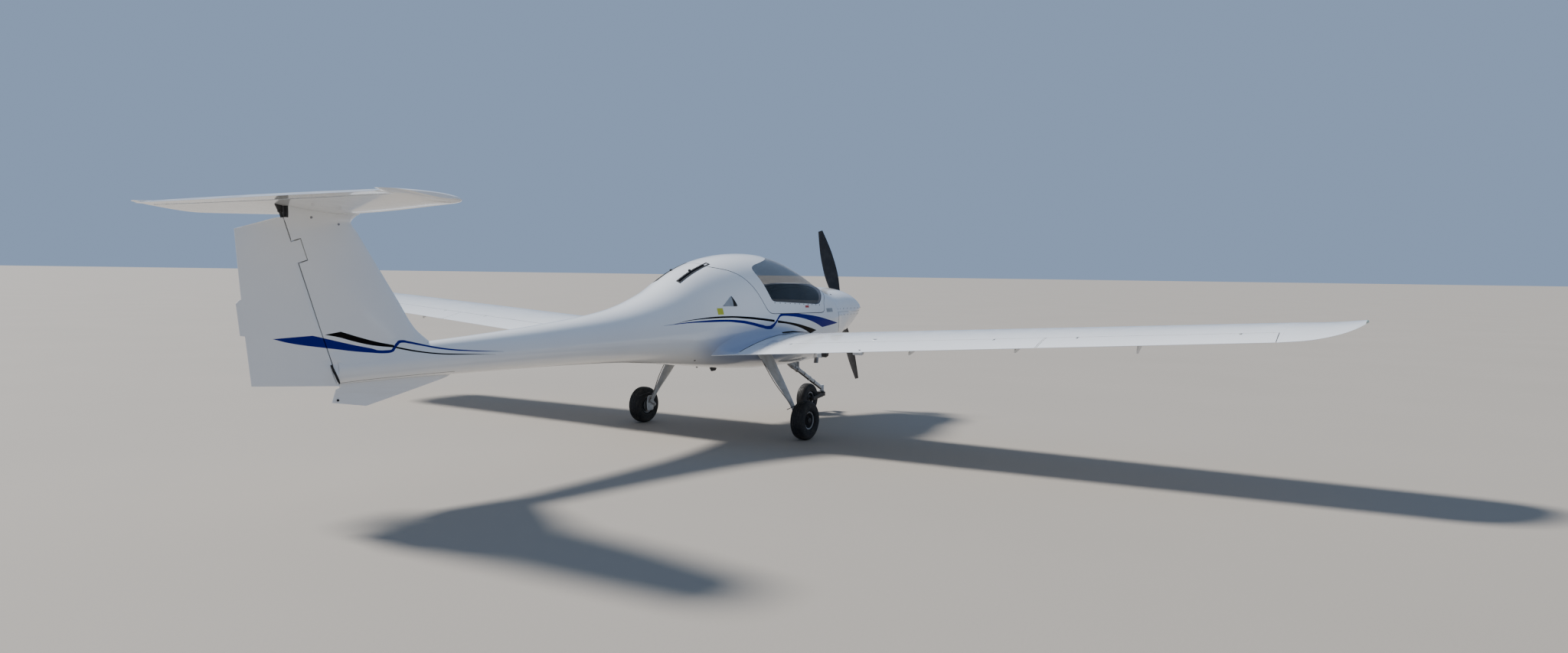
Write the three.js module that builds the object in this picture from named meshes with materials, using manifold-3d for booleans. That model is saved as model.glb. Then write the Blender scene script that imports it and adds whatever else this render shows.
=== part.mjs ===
// Two-seat light aircraft of composite build: low wing, T-tail, canopy hinged behind the seats,
// fixed three-wheel gear with a castering nose wheel. It stands parked on its wheels.
// Millimetres. X forward, Y left, Z up. The origin is on the ground, under the middle of the
// overall length and span.

import * as THREE from 'three';
import { mergeVertices } from 'three/addons/utils/BufferGeometryUtils.js';
import Module from 'manifold-3d';

const wasm = await Module();
wasm.setup();

// Driving dimensions
const LENGTH = 7180;
const NOSE_X = LENGTH / 2;
const SKIN = 30;
const TOUCH = 0.3;
const HINGE_CLEAR = 5.5;
const END_CLEAR = 7;

const MAIN = { x: 1180, track: 1910, radius: 179, width: 126, rim: 76 };
const NOSE = { x: 2800, radius: 164, width: 106, rim: 66, pivotX: 3108 };

const FIREWALL_X = 2490;
const CABIN_REAR_X = 430;
const CANOPY_PIVOT = { x: 470, z: 1418 };
const PROP = { x: 3460, z: 1180, radius: 876, tilt: 17, boss: 105 };
const SPINNER_RADIUS = 148;

// Fuselage sections from tail to nose. half is the half width, mid the height of the widest line,
// over and under the roundness of the upper and the lower half: 2 is an ellipse, more is squarer.
const HULL = [
  { x: -2972, top: 965, base: 777, half: 64, mid: 870, over: 2.0, under: 2.0 },
  { x: -2400, top: 1008, base: 778, half: 96, mid: 888, over: 2.0, under: 2.0 },
  { x: -1800, top: 1048, base: 777, half: 132, mid: 905, over: 2.0, under: 2.1 },
  { x: -1100, top: 1108, base: 771, half: 184, mid: 922, over: 2.0, under: 2.2 },
  { x: -400, top: 1200, base: 751, half: 258, mid: 940, over: 2.0, under: 2.3 },
  { x: 100, top: 1344, base: 715, half: 352, mid: 958, over: 2.0, under: 2.4 },
  { x: 550, top: 1548, base: 668, half: 462, mid: 982, over: 2.0, under: 2.4 },
  { x: 950, top: 1658, base: 625, half: 542, mid: 1005, over: 2.05, under: 2.5 },
  { x: 1400, top: 1704, base: 594, half: 588, mid: 1020, over: 2.1, under: 2.6 },
  { x: 1780, top: 1682, base: 586, half: 598, mid: 1030, over: 2.1, under: 2.6 },
  { x: 2080, top: 1592, base: 590, half: 588, mid: 1035, over: 2.15, under: 2.6 },
  { x: 2320, top: 1472, base: 600, half: 570, mid: 1040, over: 2.25, under: 2.6 },
  { x: 2470, top: 1402, base: 612, half: 554, mid: 1042, over: 2.4, under: 2.6 },
  { x: 2640, top: 1378, base: 634, half: 508, mid: 1058, over: 2.4, under: 2.25 },
  { x: 2900, top: 1378, base: 690, half: 474, mid: 1106, over: 2.35, under: 1.6 },
  { x: 3120, top: 1364, base: 775, half: 446, mid: 1146, over: 2.05, under: 1.5 },
  { x: 3260, top: 1309, base: 870, half: 390, mid: 1158, over: 1.95, under: 1.5 },
  { x: 3340, top: 1272, base: 950, half: 338, mid: 1162, over: 1.9, under: 1.65 },
];
const HULL_AROUND = 24;
const HULL_STEP = 272;

// Wing sections of the right and left wing. le and te are the x of the leading and trailing edge,
// z the height of the trailing edge, thick the thickness over the chord.
const WING = [
  { y: 380, le: 1745, te: 505, z: 782, thick: 0.15 },
  { y: 4950, le: 1640, te: 668, z: 1098, thick: 0.13 },
];
const WING_RISE = 0.045;
const WING_CAMBER = 0.022;
const TIP = [
  { y: 4950, le: 1640, te: 668, z: 1098, thick: 0.13 },
  { y: 5130, le: 1628, te: 720, z: 1118, thick: 0.12 },
  { y: 5285, le: 1590, te: 850, z: 1155, thick: 0.10 },
  { y: 5382, le: 1520, te: 1030, z: 1195, thick: 0.085 },
  { y: 5421, le: 1440, te: 1180, z: 1222, thick: 0.08 },
];
const FLAP = { from: 640, to: 3288, down: 45 };
const AILERON = { from: 3300, to: 4925 };
const HINGE = { rootX: 772, tipX: 884 };

const STAB = [
  { y: -1330, le: -3130, te: -3420, thick: 0.075 },
  { y: -1305, le: -3060, te: -3500, thick: 0.085 },
  { y: -1225, le: -3010, te: -3540, thick: 0.10 },
  { y: 0, le: -2815, te: -3572, thick: 0.11 },
  { y: 1225, le: -3010, te: -3540, thick: 0.10 },
  { y: 1305, le: -3060, te: -3500, thick: 0.085 },
  { y: 1330, le: -3130, te: -3420, thick: 0.075 },
];
const STAB_Z = 1916;
// The leading edge sits lower than the hinge by this many degrees, and the elevator hangs below level.
const STAB_PITCH = 3.95;
const ELEVATOR = { half: 1195, hingeX: -3429, droop: 4.9, reach: 300, lugs: [-1075, -573, 573, 1075] };

// Fin and rudder sections, level cuts from low to high.
const FIN = [
  { z: 740, le: -1900, te: -3500, thick: 105 },
  { z: 1000, le: -2215, te: -3528, thick: 112 },
  { z: 1110, le: -2355, te: -3540, thick: 112 },
  { z: 1300, le: -2488, te: -3556, thick: 106 },
  { z: 1740, le: -2790, te: -3590, thick: 92 },
  { z: 1796, le: -2832, te: -3590, thick: 96 },
  { z: 1835, le: -2802, te: -3590, thick: 106 },
  { z: 1858, le: -2764, te: -3590, thick: 110 },
  { z: 1930, le: -2740, te: -3590, thick: 110 },
];
// The rudder's leaning hinge, and the horn of its mass balance by height and radius.
const RUDDER = { lowZ: 800, highZ: 1756, lowX: -2994, highX: -3318, hornLow: 1530, hornHigh: 1652, horn: 92 };
const TRIM_TAB = {
  edge: [[-3500, 1098], [-3590, 1112], [-3590, 1296], [-3568, 1316], [-3500, 1324]],
  thick: 2.4,
};
const RUDDER_EDGE = [
  [-3700, 822], [-3498, 808], [-2940, 768], [-2940, 1400], [-3200, 1830], [-3330, 1800], [-3700, 1694],
];
const RUDDER_HINGE = { start: -60, beyond: 120, reach: 900, behind: 12, lugs: [0.1, 0.5, 0.72] };
// The small fin under the tail: its side outline, and level sections of half thickness.
const KEEL_EDGE = [[-2958, 900], [-2944, 770], [-2984, 662], [-2742, 621], [-2060, 770], [-2060, 900]];
const KEEL_REAR = -3100;
const KEEL = [
  { z: 600, front: -2300, half: 6 },
  { z: 680, front: -2250, half: 12 },
  { z: 830, front: -1950, half: 24 },
];

const PAINT = { color: 0xf4f5f4, roughness: 0.22, metalness: 0.0 };
const LEG_PAINT = { color: 0xc9ccce, roughness: 0.4, metalness: 0.1 };
const DARK = { color: 0x17181a, roughness: 0.6, metalness: 0.0 };
const RUBBER = { color: 0x1d1d1e, roughness: 0.9, metalness: 0.0 };
const ALLOY = { color: 0xa9adb0, roughness: 0.35, metalness: 0.8 };
const STEEL = { color: 0x6d7073, roughness: 0.45, metalness: 0.8 };
const GLASS = { color: 0x9fb2bd, roughness: 0.05, metalness: 0.0, transparent: true, opacity: 0.4 };
const CLOTH = { color: 0x3c4148, roughness: 0.95, metalness: 0.0 };
const INNER = { color: 0x8f9499, roughness: 0.7, metalness: 0.0 };

const aircraft = new THREE.Group();

// Geometry tools

const radians = THREE.MathUtils.degToRad;
// The direction in which three.js stands its cylinders and lathes.
const UP = new THREE.Vector3(0, 1, 0);

/** A closed three.js geometry as a solid that can be cut and joined. */
function solid(geometry) {
  const plain = geometry.clone();
  plain.deleteAttribute('normal');
  plain.deleteAttribute('uv');
  const merged = mergeVertices(plain, 1e-3);
  return new wasm.Manifold(new wasm.Mesh({
    numProp: 3,
    vertProperties: new Float32Array(merged.attributes.position.array),
    triVerts: new Uint32Array(merged.index.array),
  }));
}

/** A solid back as a geometry. */
function shape(body) {
  const mesh = body.getMesh();
  const geometry = new THREE.BufferGeometry();
  geometry.setAttribute('position', new THREE.BufferAttribute(mesh.vertProperties, 3));
  geometry.setIndex(new THREE.BufferAttribute(mesh.triVerts, 1));
  geometry.computeVertexNormals();
  return geometry;
}

/** Names a piece and puts it in the aircraft. */
function piece(name, body, finish, parent = aircraft) {
  const geometry = body.isBufferGeometry ? body : shape(body);
  const mesh = new THREE.Mesh(geometry, new THREE.MeshStandardMaterial(finish));
  mesh.name = name;
  parent.add(mesh);
  return mesh;
}

/** Six times the volume inside a geometry, negative when its faces point in. */
function signedVolume(geometry) {
  const index = geometry.index;
  const points = geometry.attributes.position;
  const corner = [new THREE.Vector3(), new THREE.Vector3(), new THREE.Vector3()];
  let total = 0;
  for (let i = 0; i < index.count; i += 3) {
    corner.forEach((c, k) => c.fromBufferAttribute(points, index.getX(i + k)));
    total += corner[0].dot(corner[1].clone().cross(corner[2]));
  }
  return total;
}

/** Turns a geometry's faces round if they point in. */
function facingOut(geometry) {
  if (signedVolume(geometry) < 0) {
    const order = geometry.index.array;
    for (let i = 0; i < order.length; i += 3) {
      [order[i + 1], order[i + 2]] = [order[i + 2], order[i + 1]];
    }
  }
  return geometry;
}

/** A closed skin through rings of points, with the first and last ring capped. */
function loft(rings) {
  const around = rings[0].length;
  const rows = rings.length - 1;
  const grid = new THREE.CylinderGeometry(1, 1, 1, around, rows);
  const place = grid.attributes.position;
  const middles = rings.map((ring) => [0, 1, 2].map((k) => ring.reduce((sum, p) => sum + p[k], 0) / around));
  for (let i = 0; i < place.count; i += 1) {
    const row = Math.round((0.5 - place.getY(i)) * rows);
    const onAxis = Math.hypot(place.getX(i), place.getZ(i)) < 0.5;
    const turn = Math.atan2(place.getX(i), place.getZ(i)) / (2 * Math.PI);
    const column = (Math.round(turn * around) + around) % around;
    place.setXYZ(i, ...(onAxis ? middles[row] : rings[row][column]));
  }
  return facingOut(grid);
}

/** A box from its lowest to its highest corner. */
function block(low, high) {
  const size = high.map((h, k) => h - low[k]);
  const box = new THREE.BoxGeometry(...size);
  box.translate(...high.map((h, k) => (h + low[k]) / 2));
  return box;
}

/** A round bar between two points, the same or a second radius at its far end. */
function bar(from, to, radius, farRadius = radius, sides = 10) {
  const a = new THREE.Vector3(...from);
  const b = new THREE.Vector3(...to);
  const rod = new THREE.CylinderGeometry(farRadius, radius, a.distanceTo(b), sides);
  const direction = b.clone().sub(a).normalize();
  rod.applyQuaternion(new THREE.Quaternion().setFromUnitVectors(UP, direction));
  rod.translate(...a.add(b).multiplyScalar(0.5).toArray());
  return rod;
}

/** A flat outline in the side view (x, z), given thickness from y to y + width. */
function sidePlate(outline, y, width) {
  const flat = new THREE.Shape(outline.map(([x, z]) => new THREE.Vector2(x, z)));
  const plate = new THREE.ExtrudeGeometry(flat, { depth: width, bevelEnabled: false });
  plate.rotateX(Math.PI / 2);
  plate.translate(0, y + width, 0);
  return facingOut(indexed(plate));
}

/** A geometry with shared corners and an index. */
function indexed(geometry) {
  const plain = geometry.clone();
  plain.deleteAttribute('normal');
  plain.deleteAttribute('uv');
  return mergeVertices(plain, 1e-3);
}

/** A lathe about an axis through a point, from (radius, offset along the axis) pairs. */
function turned(profile, centre, axis, sides = 32) {
  const wheel = new THREE.LatheGeometry(profile.map(([r, a]) => new THREE.Vector2(r, a)), sides);
  wheel.applyQuaternion(new THREE.Quaternion().setFromUnitVectors(UP, new THREE.Vector3(...axis)));
  wheel.translate(...centre);
  return facingOut(indexed(wheel));
}

/** The value of a table's column at x, smooth through its rows. */
function along(table, key, column, at) {
  const last = table.length - 1;
  let i = table.findIndex((row, k) => k < last && at <= table[k + 1][key]);
  if (i < 0) {
    i = last - 1;
  }
  const slope = (k) => {
    const a = table[Math.max(k - 1, 0)];
    const b = table[Math.min(k + 1, last)];
    return (b[column] - a[column]) / (b[key] - a[key]);
  };
  const [a, b] = [table[i], table[i + 1]];
  const step = b[key] - a[key];
  const t = (at - a[key]) / step;
  const ease = t * t * (3 - 2 * t);
  return a[column] * (1 - ease) + b[column] * ease
    + step * (t * (1 - t) * (1 - t) * slope(i) - t * t * (1 - t) * slope(i + 1));
}

// Fuselage, cabin and cowling

/** One fuselage section at x, drawn in by inset. */
function hullRing(x, inset, around = HULL_AROUND) {
  const get = (column) => along(HULL, 'x', column, x);
  const half = get('half') - inset;
  const mid = get('mid');
  const ring = [];
  for (let i = 0; i < around; i += 1) {
    const angle = (i * 2 * Math.PI) / around;
    const up = Math.sin(angle) >= 0;
    const power = 2 / (up ? get('over') : get('under'));
    const reach = up ? get('top') - inset - mid : mid - get('base') - inset;
    const c = Math.cos(angle);
    const s = Math.sin(angle);
    const y = half * Math.sign(c) * Math.abs(c) ** power;
    ring.push([x, y, mid + reach * Math.sign(s) * Math.abs(s) ** power]);
  }
  return ring;
}

/** The fuselage form between two stations, drawn in by inset. */
function hull(fromX, toX, inset) {
  const inner = HULL.map((row) => row.x).filter((x) => x > fromX + 40 && x < toX - 40);
  const stations = [fromX, ...inner, toX];
  const full = [];
  stations.forEach((x, i) => {
    full.push(x);
    if (i < stations.length - 1) {
      const parts = Math.max(1, Math.round((stations[i + 1] - x) / HULL_STEP));
      for (let k = 1; k < parts; k += 1) {
        full.push(x + ((stations[i + 1] - x) * k) / parts);
      }
    }
  });
  return solid(loft(full.map((x) => hullRing(x, inset))));
}

const wide = 2000;
// The canopy's edge and the edge of its glass, seen from the side.
const CANOPY_EDGE = [
  [706, 1900], [712, 1572], [800, 1556], [890, 1535], [978, 1482], [1048, 1384], [1101, 1268],
  [1152, 1172], [1205, 1142], [2120, 1134], [2166, 1156], [2186, 1236], [2290, 1300], [2466, 1400],
  [2560, 1450], [2560, 1900],
];
const GLASS_EDGE = [
  [1800, 1900], [1640, 1668], [1250, 1594], [1190, 1570], [1168, 1540], [1185, 1460], [1215, 1340],
  [1236, 1276], [1262, 1254], [2050, 1218], [2112, 1240], [2270, 1345], [2410, 1424], [2560, 1490],
  [2560, 1900],
];

/** An outline moved out (or in, when negative) from its own middle line by a distance. */
function grown(outline, by) {
  const n = outline.length;
  return outline.map((p, i) => {
    const a = outline[(i + n - 1) % n];
    const b = outline[(i + 1) % n];
    const u = new THREE.Vector2(p[0] - a[0], p[1] - a[1]).normalize();
    const v = new THREE.Vector2(b[0] - p[0], b[1] - p[1]).normalize();
    const normal = new THREE.Vector2(u.y + v.y, -(u.x + v.x)).normalize();
    const stretch = by / Math.max(0.5, normal.dot(new THREE.Vector2(u.y, -u.x)));
    return [p[0] + normal.x * stretch, p[1] + normal.y * stretch];
  });
}

/** Everything inside a side outline, across the whole width. */
function sideZone(outline) {
  return solid(sidePlate(outline, -wide / 2, wide));
}

const CANOPY_SEAM = 3;
const canopyZone = sideZone(grown(CANOPY_EDGE, -CANOPY_SEAM));
const canopyGap = sideZone(grown(CANOPY_EDGE, CANOPY_SEAM));
const glassZone = sideZone(grown(GLASS_EDGE, -1));
const glassGap = sideZone(GLASS_EDGE);
const CABIN_FRONT_X = FIREWALL_X - 12;
const cabinInside = hull(CABIN_REAR_X, CABIN_FRONT_X, SKIN);
const cabinRoom = hull(CABIN_REAR_X + TOUCH, CABIN_FRONT_X - TOUCH, SKIN + TOUCH);

// The two arms that carry the canopy, and the slots in the roof that they pass through.
const ARM_Y = 132;
const ARM_WIDTH = 18;
const ARM_SLOT = 34;
const SLOT = { from: 345, to: 900, low: 1380, high: 1800 };
const ARM = [
  [CANOPY_PIVOT.x - 17, CANOPY_PIVOT.z - 12], [CANOPY_PIVOT.x + 17, CANOPY_PIVOT.z - 12], [560, 1440],
  [800, 1540], [800, 1720], [640, 1600], [500, 1520], [CANOPY_PIVOT.x - 17, 1460],
];
const CANOPY_PIN = { radius: 8, hole: 8.7, reach: 28 };
const CANOPY_LUG = { y: 22, width: 8, bar: 180, low: 1380, high: 1400 };
const CANOPY_LUG_EDGE = [
  [CABIN_REAR_X + TOUCH, 1380], [500, 1380], [500, 1420], [484, 1436], [456, 1436],
  [CABIN_REAR_X + TOUCH, 1410],
];

// Stations of the empty space in the tail boom, which opens into the cabin through a passage.
const BOOM_FRONT_X = CABIN_REAR_X - 22;
const BOOM_ROOM = [-2600, -1500, -400, 100, BOOM_FRONT_X + 2];
const BOOM_ROOM_AROUND = 12;
const PASSAGE = { half: 80, low: 900, high: 1060 };

function fuselage(rudderSpace) {
  const boomRoom = solid(loft(BOOM_ROOM.map((x) => hullRing(x, SKIN, BOOM_ROOM_AROUND))));
  const passage = solid(block(
    [BOOM_FRONT_X - 1, -PASSAGE.half, PASSAGE.low],
    [CABIN_REAR_X + 10, PASSAGE.half, PASSAGE.high],
  ));
  let boom = hull(HULL[0].x, BOOM_FRONT_X - TOUCH, 0).subtract(rudderSpace).subtract(boomRoom);
  let shell = hull(BOOM_FRONT_X, FIREWALL_X, 0).subtract(cabinInside).subtract(passage).subtract(canopyGap);
  [-1, 1].forEach((side) => {
    const [inner, outer] = [side * ARM_Y - ARM_SLOT / 2, side * ARM_Y + ARM_SLOT / 2];
    const slot = solid(block([SLOT.from, inner, SLOT.low], [SLOT.to, outer, SLOT.high]));
    boom = boom.subtract(slot);
    shell = shell.subtract(slot);
  });
  piece('tail_boom', boom, PAINT);
  piece('fuselage', shell, PAINT);
}

const FIREWALL_THICK = 8;
// The engine as one plain block, with four mounts to the firewall and a shaft to the propeller.
const ENGINE = { rear: 2640, front: 3060, half: 330, low: 960, high: 1225, shaft: 62 };
const ENGINE_MOUNT = { y: [-200, 200], z: [1010, 1200], radius: 14 };
const COWL = { front: 3340, wall: 7, frontWall: 14, splitZ: 1128, shaftHole: 74 };
const COWL_OUTLET = { half: 150, front: 2570, low: 560, high: 700 };
const INLETS = [
  { y: -215, z: 1150, wide: 120, high: 84 },
  { y: 215, z: 1150, wide: 120, high: 84 },
  { y: 0, z: 975, wide: 250, high: 74 },
];
const EXHAUST = { from: [2800, -150, 955], to: [2700, -160, 540], radius: 24, hole: 34, bore: 20 };
const EXHAUST_BORE = { from: [2760, -154, 789], to: [2690, -161, 498] };

function firewallAndEngine() {
  const rear = FIREWALL_X + TOUCH;
  const inside = hull(FIREWALL_X - 20, FIREWALL_X + 60, 10);
  const plate = solid(block([rear, -700, 500], [FIREWALL_X + FIREWALL_THICK, 700, 1500]));
  piece('firewall', inside.intersect(plate), STEEL);
  const { half, low, high, front, shaft } = ENGINE;
  let engine = solid(block([ENGINE.rear, -half, low], [front, half, high]));
  ENGINE_MOUNT.y.forEach((y) => {
    ENGINE_MOUNT.z.forEach((z) => {
      const start = FIREWALL_X + FIREWALL_THICK + TOUCH;
      engine = engine.add(solid(bar([start, y, z], [ENGINE.rear + 20, y, z], ENGINE_MOUNT.radius)));
    });
  });
  const shaftEnd = PROP.x - PROP.boss / 2 - TOUCH;
  engine = engine.add(solid(bar([front - 10, 0, PROP.z], [shaftEnd, 0, PROP.z], shaft, shaft, 16)));
  piece('engine_block', engine, ALLOY);
}

function cowlings() {
  const rear = FIREWALL_X + TOUCH;
  const { front, wall, frontWall, splitZ, shaftHole } = COWL;
  let shell = hull(rear, front, 0).subtract(hull(rear - 30, front - frontWall, wall));
  INLETS.forEach((inlet) => {
    const hole = new THREE.CylinderGeometry(1, 1, 260, 20);
    hole.rotateZ(Math.PI / 2);
    hole.scale(1, inlet.wide / 2, inlet.high / 2);
    hole.translate(front - 10, inlet.y, inlet.z);
    shell = shell.subtract(solid(hole));
  });
  const shaft = solid(bar([front - 60, 0, PROP.z], [front + 60, 0, PROP.z], shaftHole, shaftHole, 16));
  const { half, low, high } = COWL_OUTLET;
  const outlet = solid(block([rear - 10, -half, low], [COWL_OUTLET.front, half, high]));
  shell = shell.subtract(shaft).subtract(outlet);
  const above = solid(block([2000, -wide, splitZ + TOUCH / 2], [3600, wide, 2000]));
  const below = solid(block([2000, -wide, 0], [3600, wide, splitZ - TOUCH / 2]));
  const { from, to, radius, hole, bore } = EXHAUST;
  const pipe = solid(bar(from, to, radius, radius, 16));
  const pipeHole = solid(bar(from, to, hole, hole, 16));
  piece('cowling_upper', shell.intersect(above), PAINT);
  piece('cowling_lower', shell.intersect(below).subtract(pipeHole), PAINT);
  const pipeBore = solid(bar(EXHAUST_BORE.from, EXHAUST_BORE.to, bore, bore, 16));
  const engineLow = solid(block([ENGINE.rear - 40, -400, ENGINE.low - TOUCH], [front, 400, 1400]));
  piece('exhaust_pipe', pipe.subtract(pipeBore).subtract(engineLow), STEEL);
}

/** A round bar across the canopy's pivot, centred on one of its arms. */
function canopyPin(side, reach, radius) {
  const { x, z } = CANOPY_PIVOT;
  return solid(bar([x, side * ARM_Y - reach, z], [x, side * ARM_Y + reach, z], radius));
}

function canopy() {
  const outer = hull(660, 2560, 0);
  const inner = hull(620, 2600, SKIN - 6);
  const under = hull(400, 2600, 12);
  const lug = CANOPY_LUG;
  let frame = outer.subtract(inner).intersect(canopyZone).subtract(glassGap);
  const wall = CABIN_REAR_X + TOUCH;
  let brackets = solid(block([wall, -lug.bar, lug.low], [CABIN_REAR_X + 14, lug.bar, lug.high]));
  [-1, 1].forEach((side) => {
    const arm = solid(sidePlate(ARM, side * ARM_Y - ARM_WIDTH / 2, ARM_WIDTH));
    frame = frame.add(arm.intersect(under).add(arm.intersect(outer).intersect(canopyZone)));
    frame = frame.add(canopyPin(side, CANOPY_PIN.reach, CANOPY_PIN.radius));
    [-1, 1].forEach((cheek) => {
      const y = side * ARM_Y + cheek * lug.y;
      brackets = brackets.add(solid(sidePlate(CANOPY_LUG_EDGE, y - lug.width / 2, lug.width)));
    });
    brackets = brackets.subtract(canopyPin(side, CANOPY_PIN.reach + 12, CANOPY_PIN.hole));
  });
  piece('canopy_frame', frame, PAINT);
  const pane = hull(900, 2560, 3).subtract(hull(860, 2600, 9)).intersect(glassZone);
  piece('canopy_glass', pane, GLASS);
  piece('canopy_hinge_bracket', brackets.intersect(cabinRoom), STEEL);
}

// Wings, tail and their hinged surfaces

/** Half the thickness of an aerofoil of chord 1 and thickness 1, at s behind its leading edge. */
function bulge(s) {
  return 5 * (0.2969 * Math.sqrt(s) - 0.126 * s - 0.3516 * s ** 2 + 0.2843 * s ** 3 - 0.1015 * s ** 4);
}

/** Points round an aerofoil as [back, up] from its leading edge, for a chord of 1. */
function foil(thick, camber, steps = 7) {
  const points = [];
  for (let i = 0; i <= steps; i += 1) {
    const s = 0.5 * (1 + Math.cos((Math.PI * i) / steps));
    points.push([s, camber * 4 * s * (1 - s) + thick * bulge(s)]);
  }
  for (let i = 1; i <= steps; i += 1) {
    const s = 0.5 * (1 - Math.cos((Math.PI * i) / steps));
    points.push([s, camber * 4 * s * (1 - s) - thick * bulge(s)]);
  }
  return points;
}

function wingRing(row) {
  const chord = row.le - row.te;
  return foil(row.thick, WING_CAMBER).map(([back, up]) => [
    row.le - back * chord, row.y, row.z + (1 - back) * WING_RISE * chord + up * chord,
  ]);
}

/** The height and half thickness of the wing where the hinge line crosses a section. */
function wingAt(row, x) {
  const chord = row.le - row.te;
  const s = (row.le - x) / chord;
  return {
    z: row.z + (1 - s) * WING_RISE * chord + WING_CAMBER * 4 * s * (1 - s) * chord,
    half: row.thick * bulge(s) * chord,
  };
}

/** The matrix that carries x forward, y along a hinge line and z up into place. */
function hingeFrame(a, b) {
  const from = new THREE.Vector3(...a);
  const axis = new THREE.Vector3(...b).sub(from).normalize();
  const up = new THREE.Vector3(1, 0, 0).cross(axis).normalize();
  const forward = axis.clone().cross(up);
  return new THREE.Matrix4().makeBasis(forward, axis, up).setPosition(from);
}

const NOSE_GROWTH = 1.25;
const LUG = { width: 7, round: 8, pin: 3.5, hole: 4.15, slot: 18, behind: 17 };

/**
 * Splits a surface along a hinge line into its fixed and its moving part. The moving part's nose is
 * round about the hinge. Lugs with pins reach from the fixed part into slots in the moving one.
 */
function hinged(full, hinge) {
  const frame = hingeFrame(hinge.a, hinge.b);
  const run = new THREE.Vector3(...hinge.a).distanceTo(new THREE.Vector3(...hinge.b));
  const put = (geometry) => solid(geometry.clone().applyMatrix4(frame));
  const radiusAt = (s) => NOSE_GROWTH * (hinge.halfA + ((hinge.halfB - hinge.halfA) * s) / run);
  const nose = (extra, low, high) => (
    put(bar([0, low, 0], [0, high, 0], radiusAt(low) + extra, radiusAt(high) + extra, 18))
  );
  const tall = 300;
  const [from, to] = [hinge.from, hinge.to];
  const opened = [from - END_CLEAR, to + END_CLEAR];
  let moving = put(block([-hinge.reach, from, -tall], [0, to, tall])).add(nose(0, from, to));
  let space = put(block([-hinge.reach, opened[0], -tall], [0, opened[1], tall]));
  space = space.add(nose(HINGE_CLEAR, ...opened));
  (hinge.horns || []).forEach(([low, high, reach]) => {
    const room = reach + HINGE_CLEAR;
    moving = moving.add(put(bar([0, low, 0], [0, high, 0], reach, reach, 28)));
    space = space.add(put(bar([0, low - END_CLEAR, 0], [0, high + END_CLEAR, 0], room, room, 28)));
  });
  moving = moving.intersect(full);
  let fixed = full.subtract(space);
  hinge.lugs.forEach((s) => {
    const reach = radiusAt(s) + HINGE_CLEAR + 12;
    const { width, round, pin, hole, slot, behind } = LUG;
    const lug = put(block([0, s - width / 2, -round], [reach, s + width / 2, round]))
      .add(put(bar([0, s - width / 2, 0], [0, s + width / 2, 0], round, round, 8)))
      .add(put(bar([0, s - slot, 0], [0, s + slot, 0], pin, pin, 8)));
    moving = moving.subtract(put(block([-behind, s - slot / 2, -tall], [reach, s + slot / 2, tall])));
    moving = moving.subtract(put(bar([0, s - slot - 2, 0], [0, s + slot + 2, 0], hole, hole, 8)));
    fixed = fixed.add(lug);
  });
  return { fixed, moving, space };
}

/** A geometry mirrored to the aircraft's other side. */
function mirrored(geometry) {
  const other = geometry.clone();
  other.scale(1, -1, 1);
  facingOut(other);
  other.computeVertexNormals();
  return other;
}

/** Adds a left piece and its mirrored right one. */
function pair(name, body, finish) {
  const left = body.isBufferGeometry ? body : shape(body);
  piece(`${name}_left`, left, finish);
  piece(`${name}_right`, mirrored(left), finish);
}

const wingForm = solid(loft(WING.map(wingRing)));

// Under-wing hinge arms, along the span from the root, and how far each hangs down.
const WING_ARMS = [
  { y: 1250, from: 30, deep: 46 },
  { y: 2150, from: 30, deep: 46 },
  { y: 3050, from: 30, deep: 46 },
  { y: 3976, from: 20, deep: 74 },
];
const WING_ARM_WIDTH = 12;
const SURFACE_REACH = 420;
const SURFACE_LUGS = [0.15, 0.85];
const TIP_LIGHT = { x: 1310, z: 1234, size: [58, 14, 13] };

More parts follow.
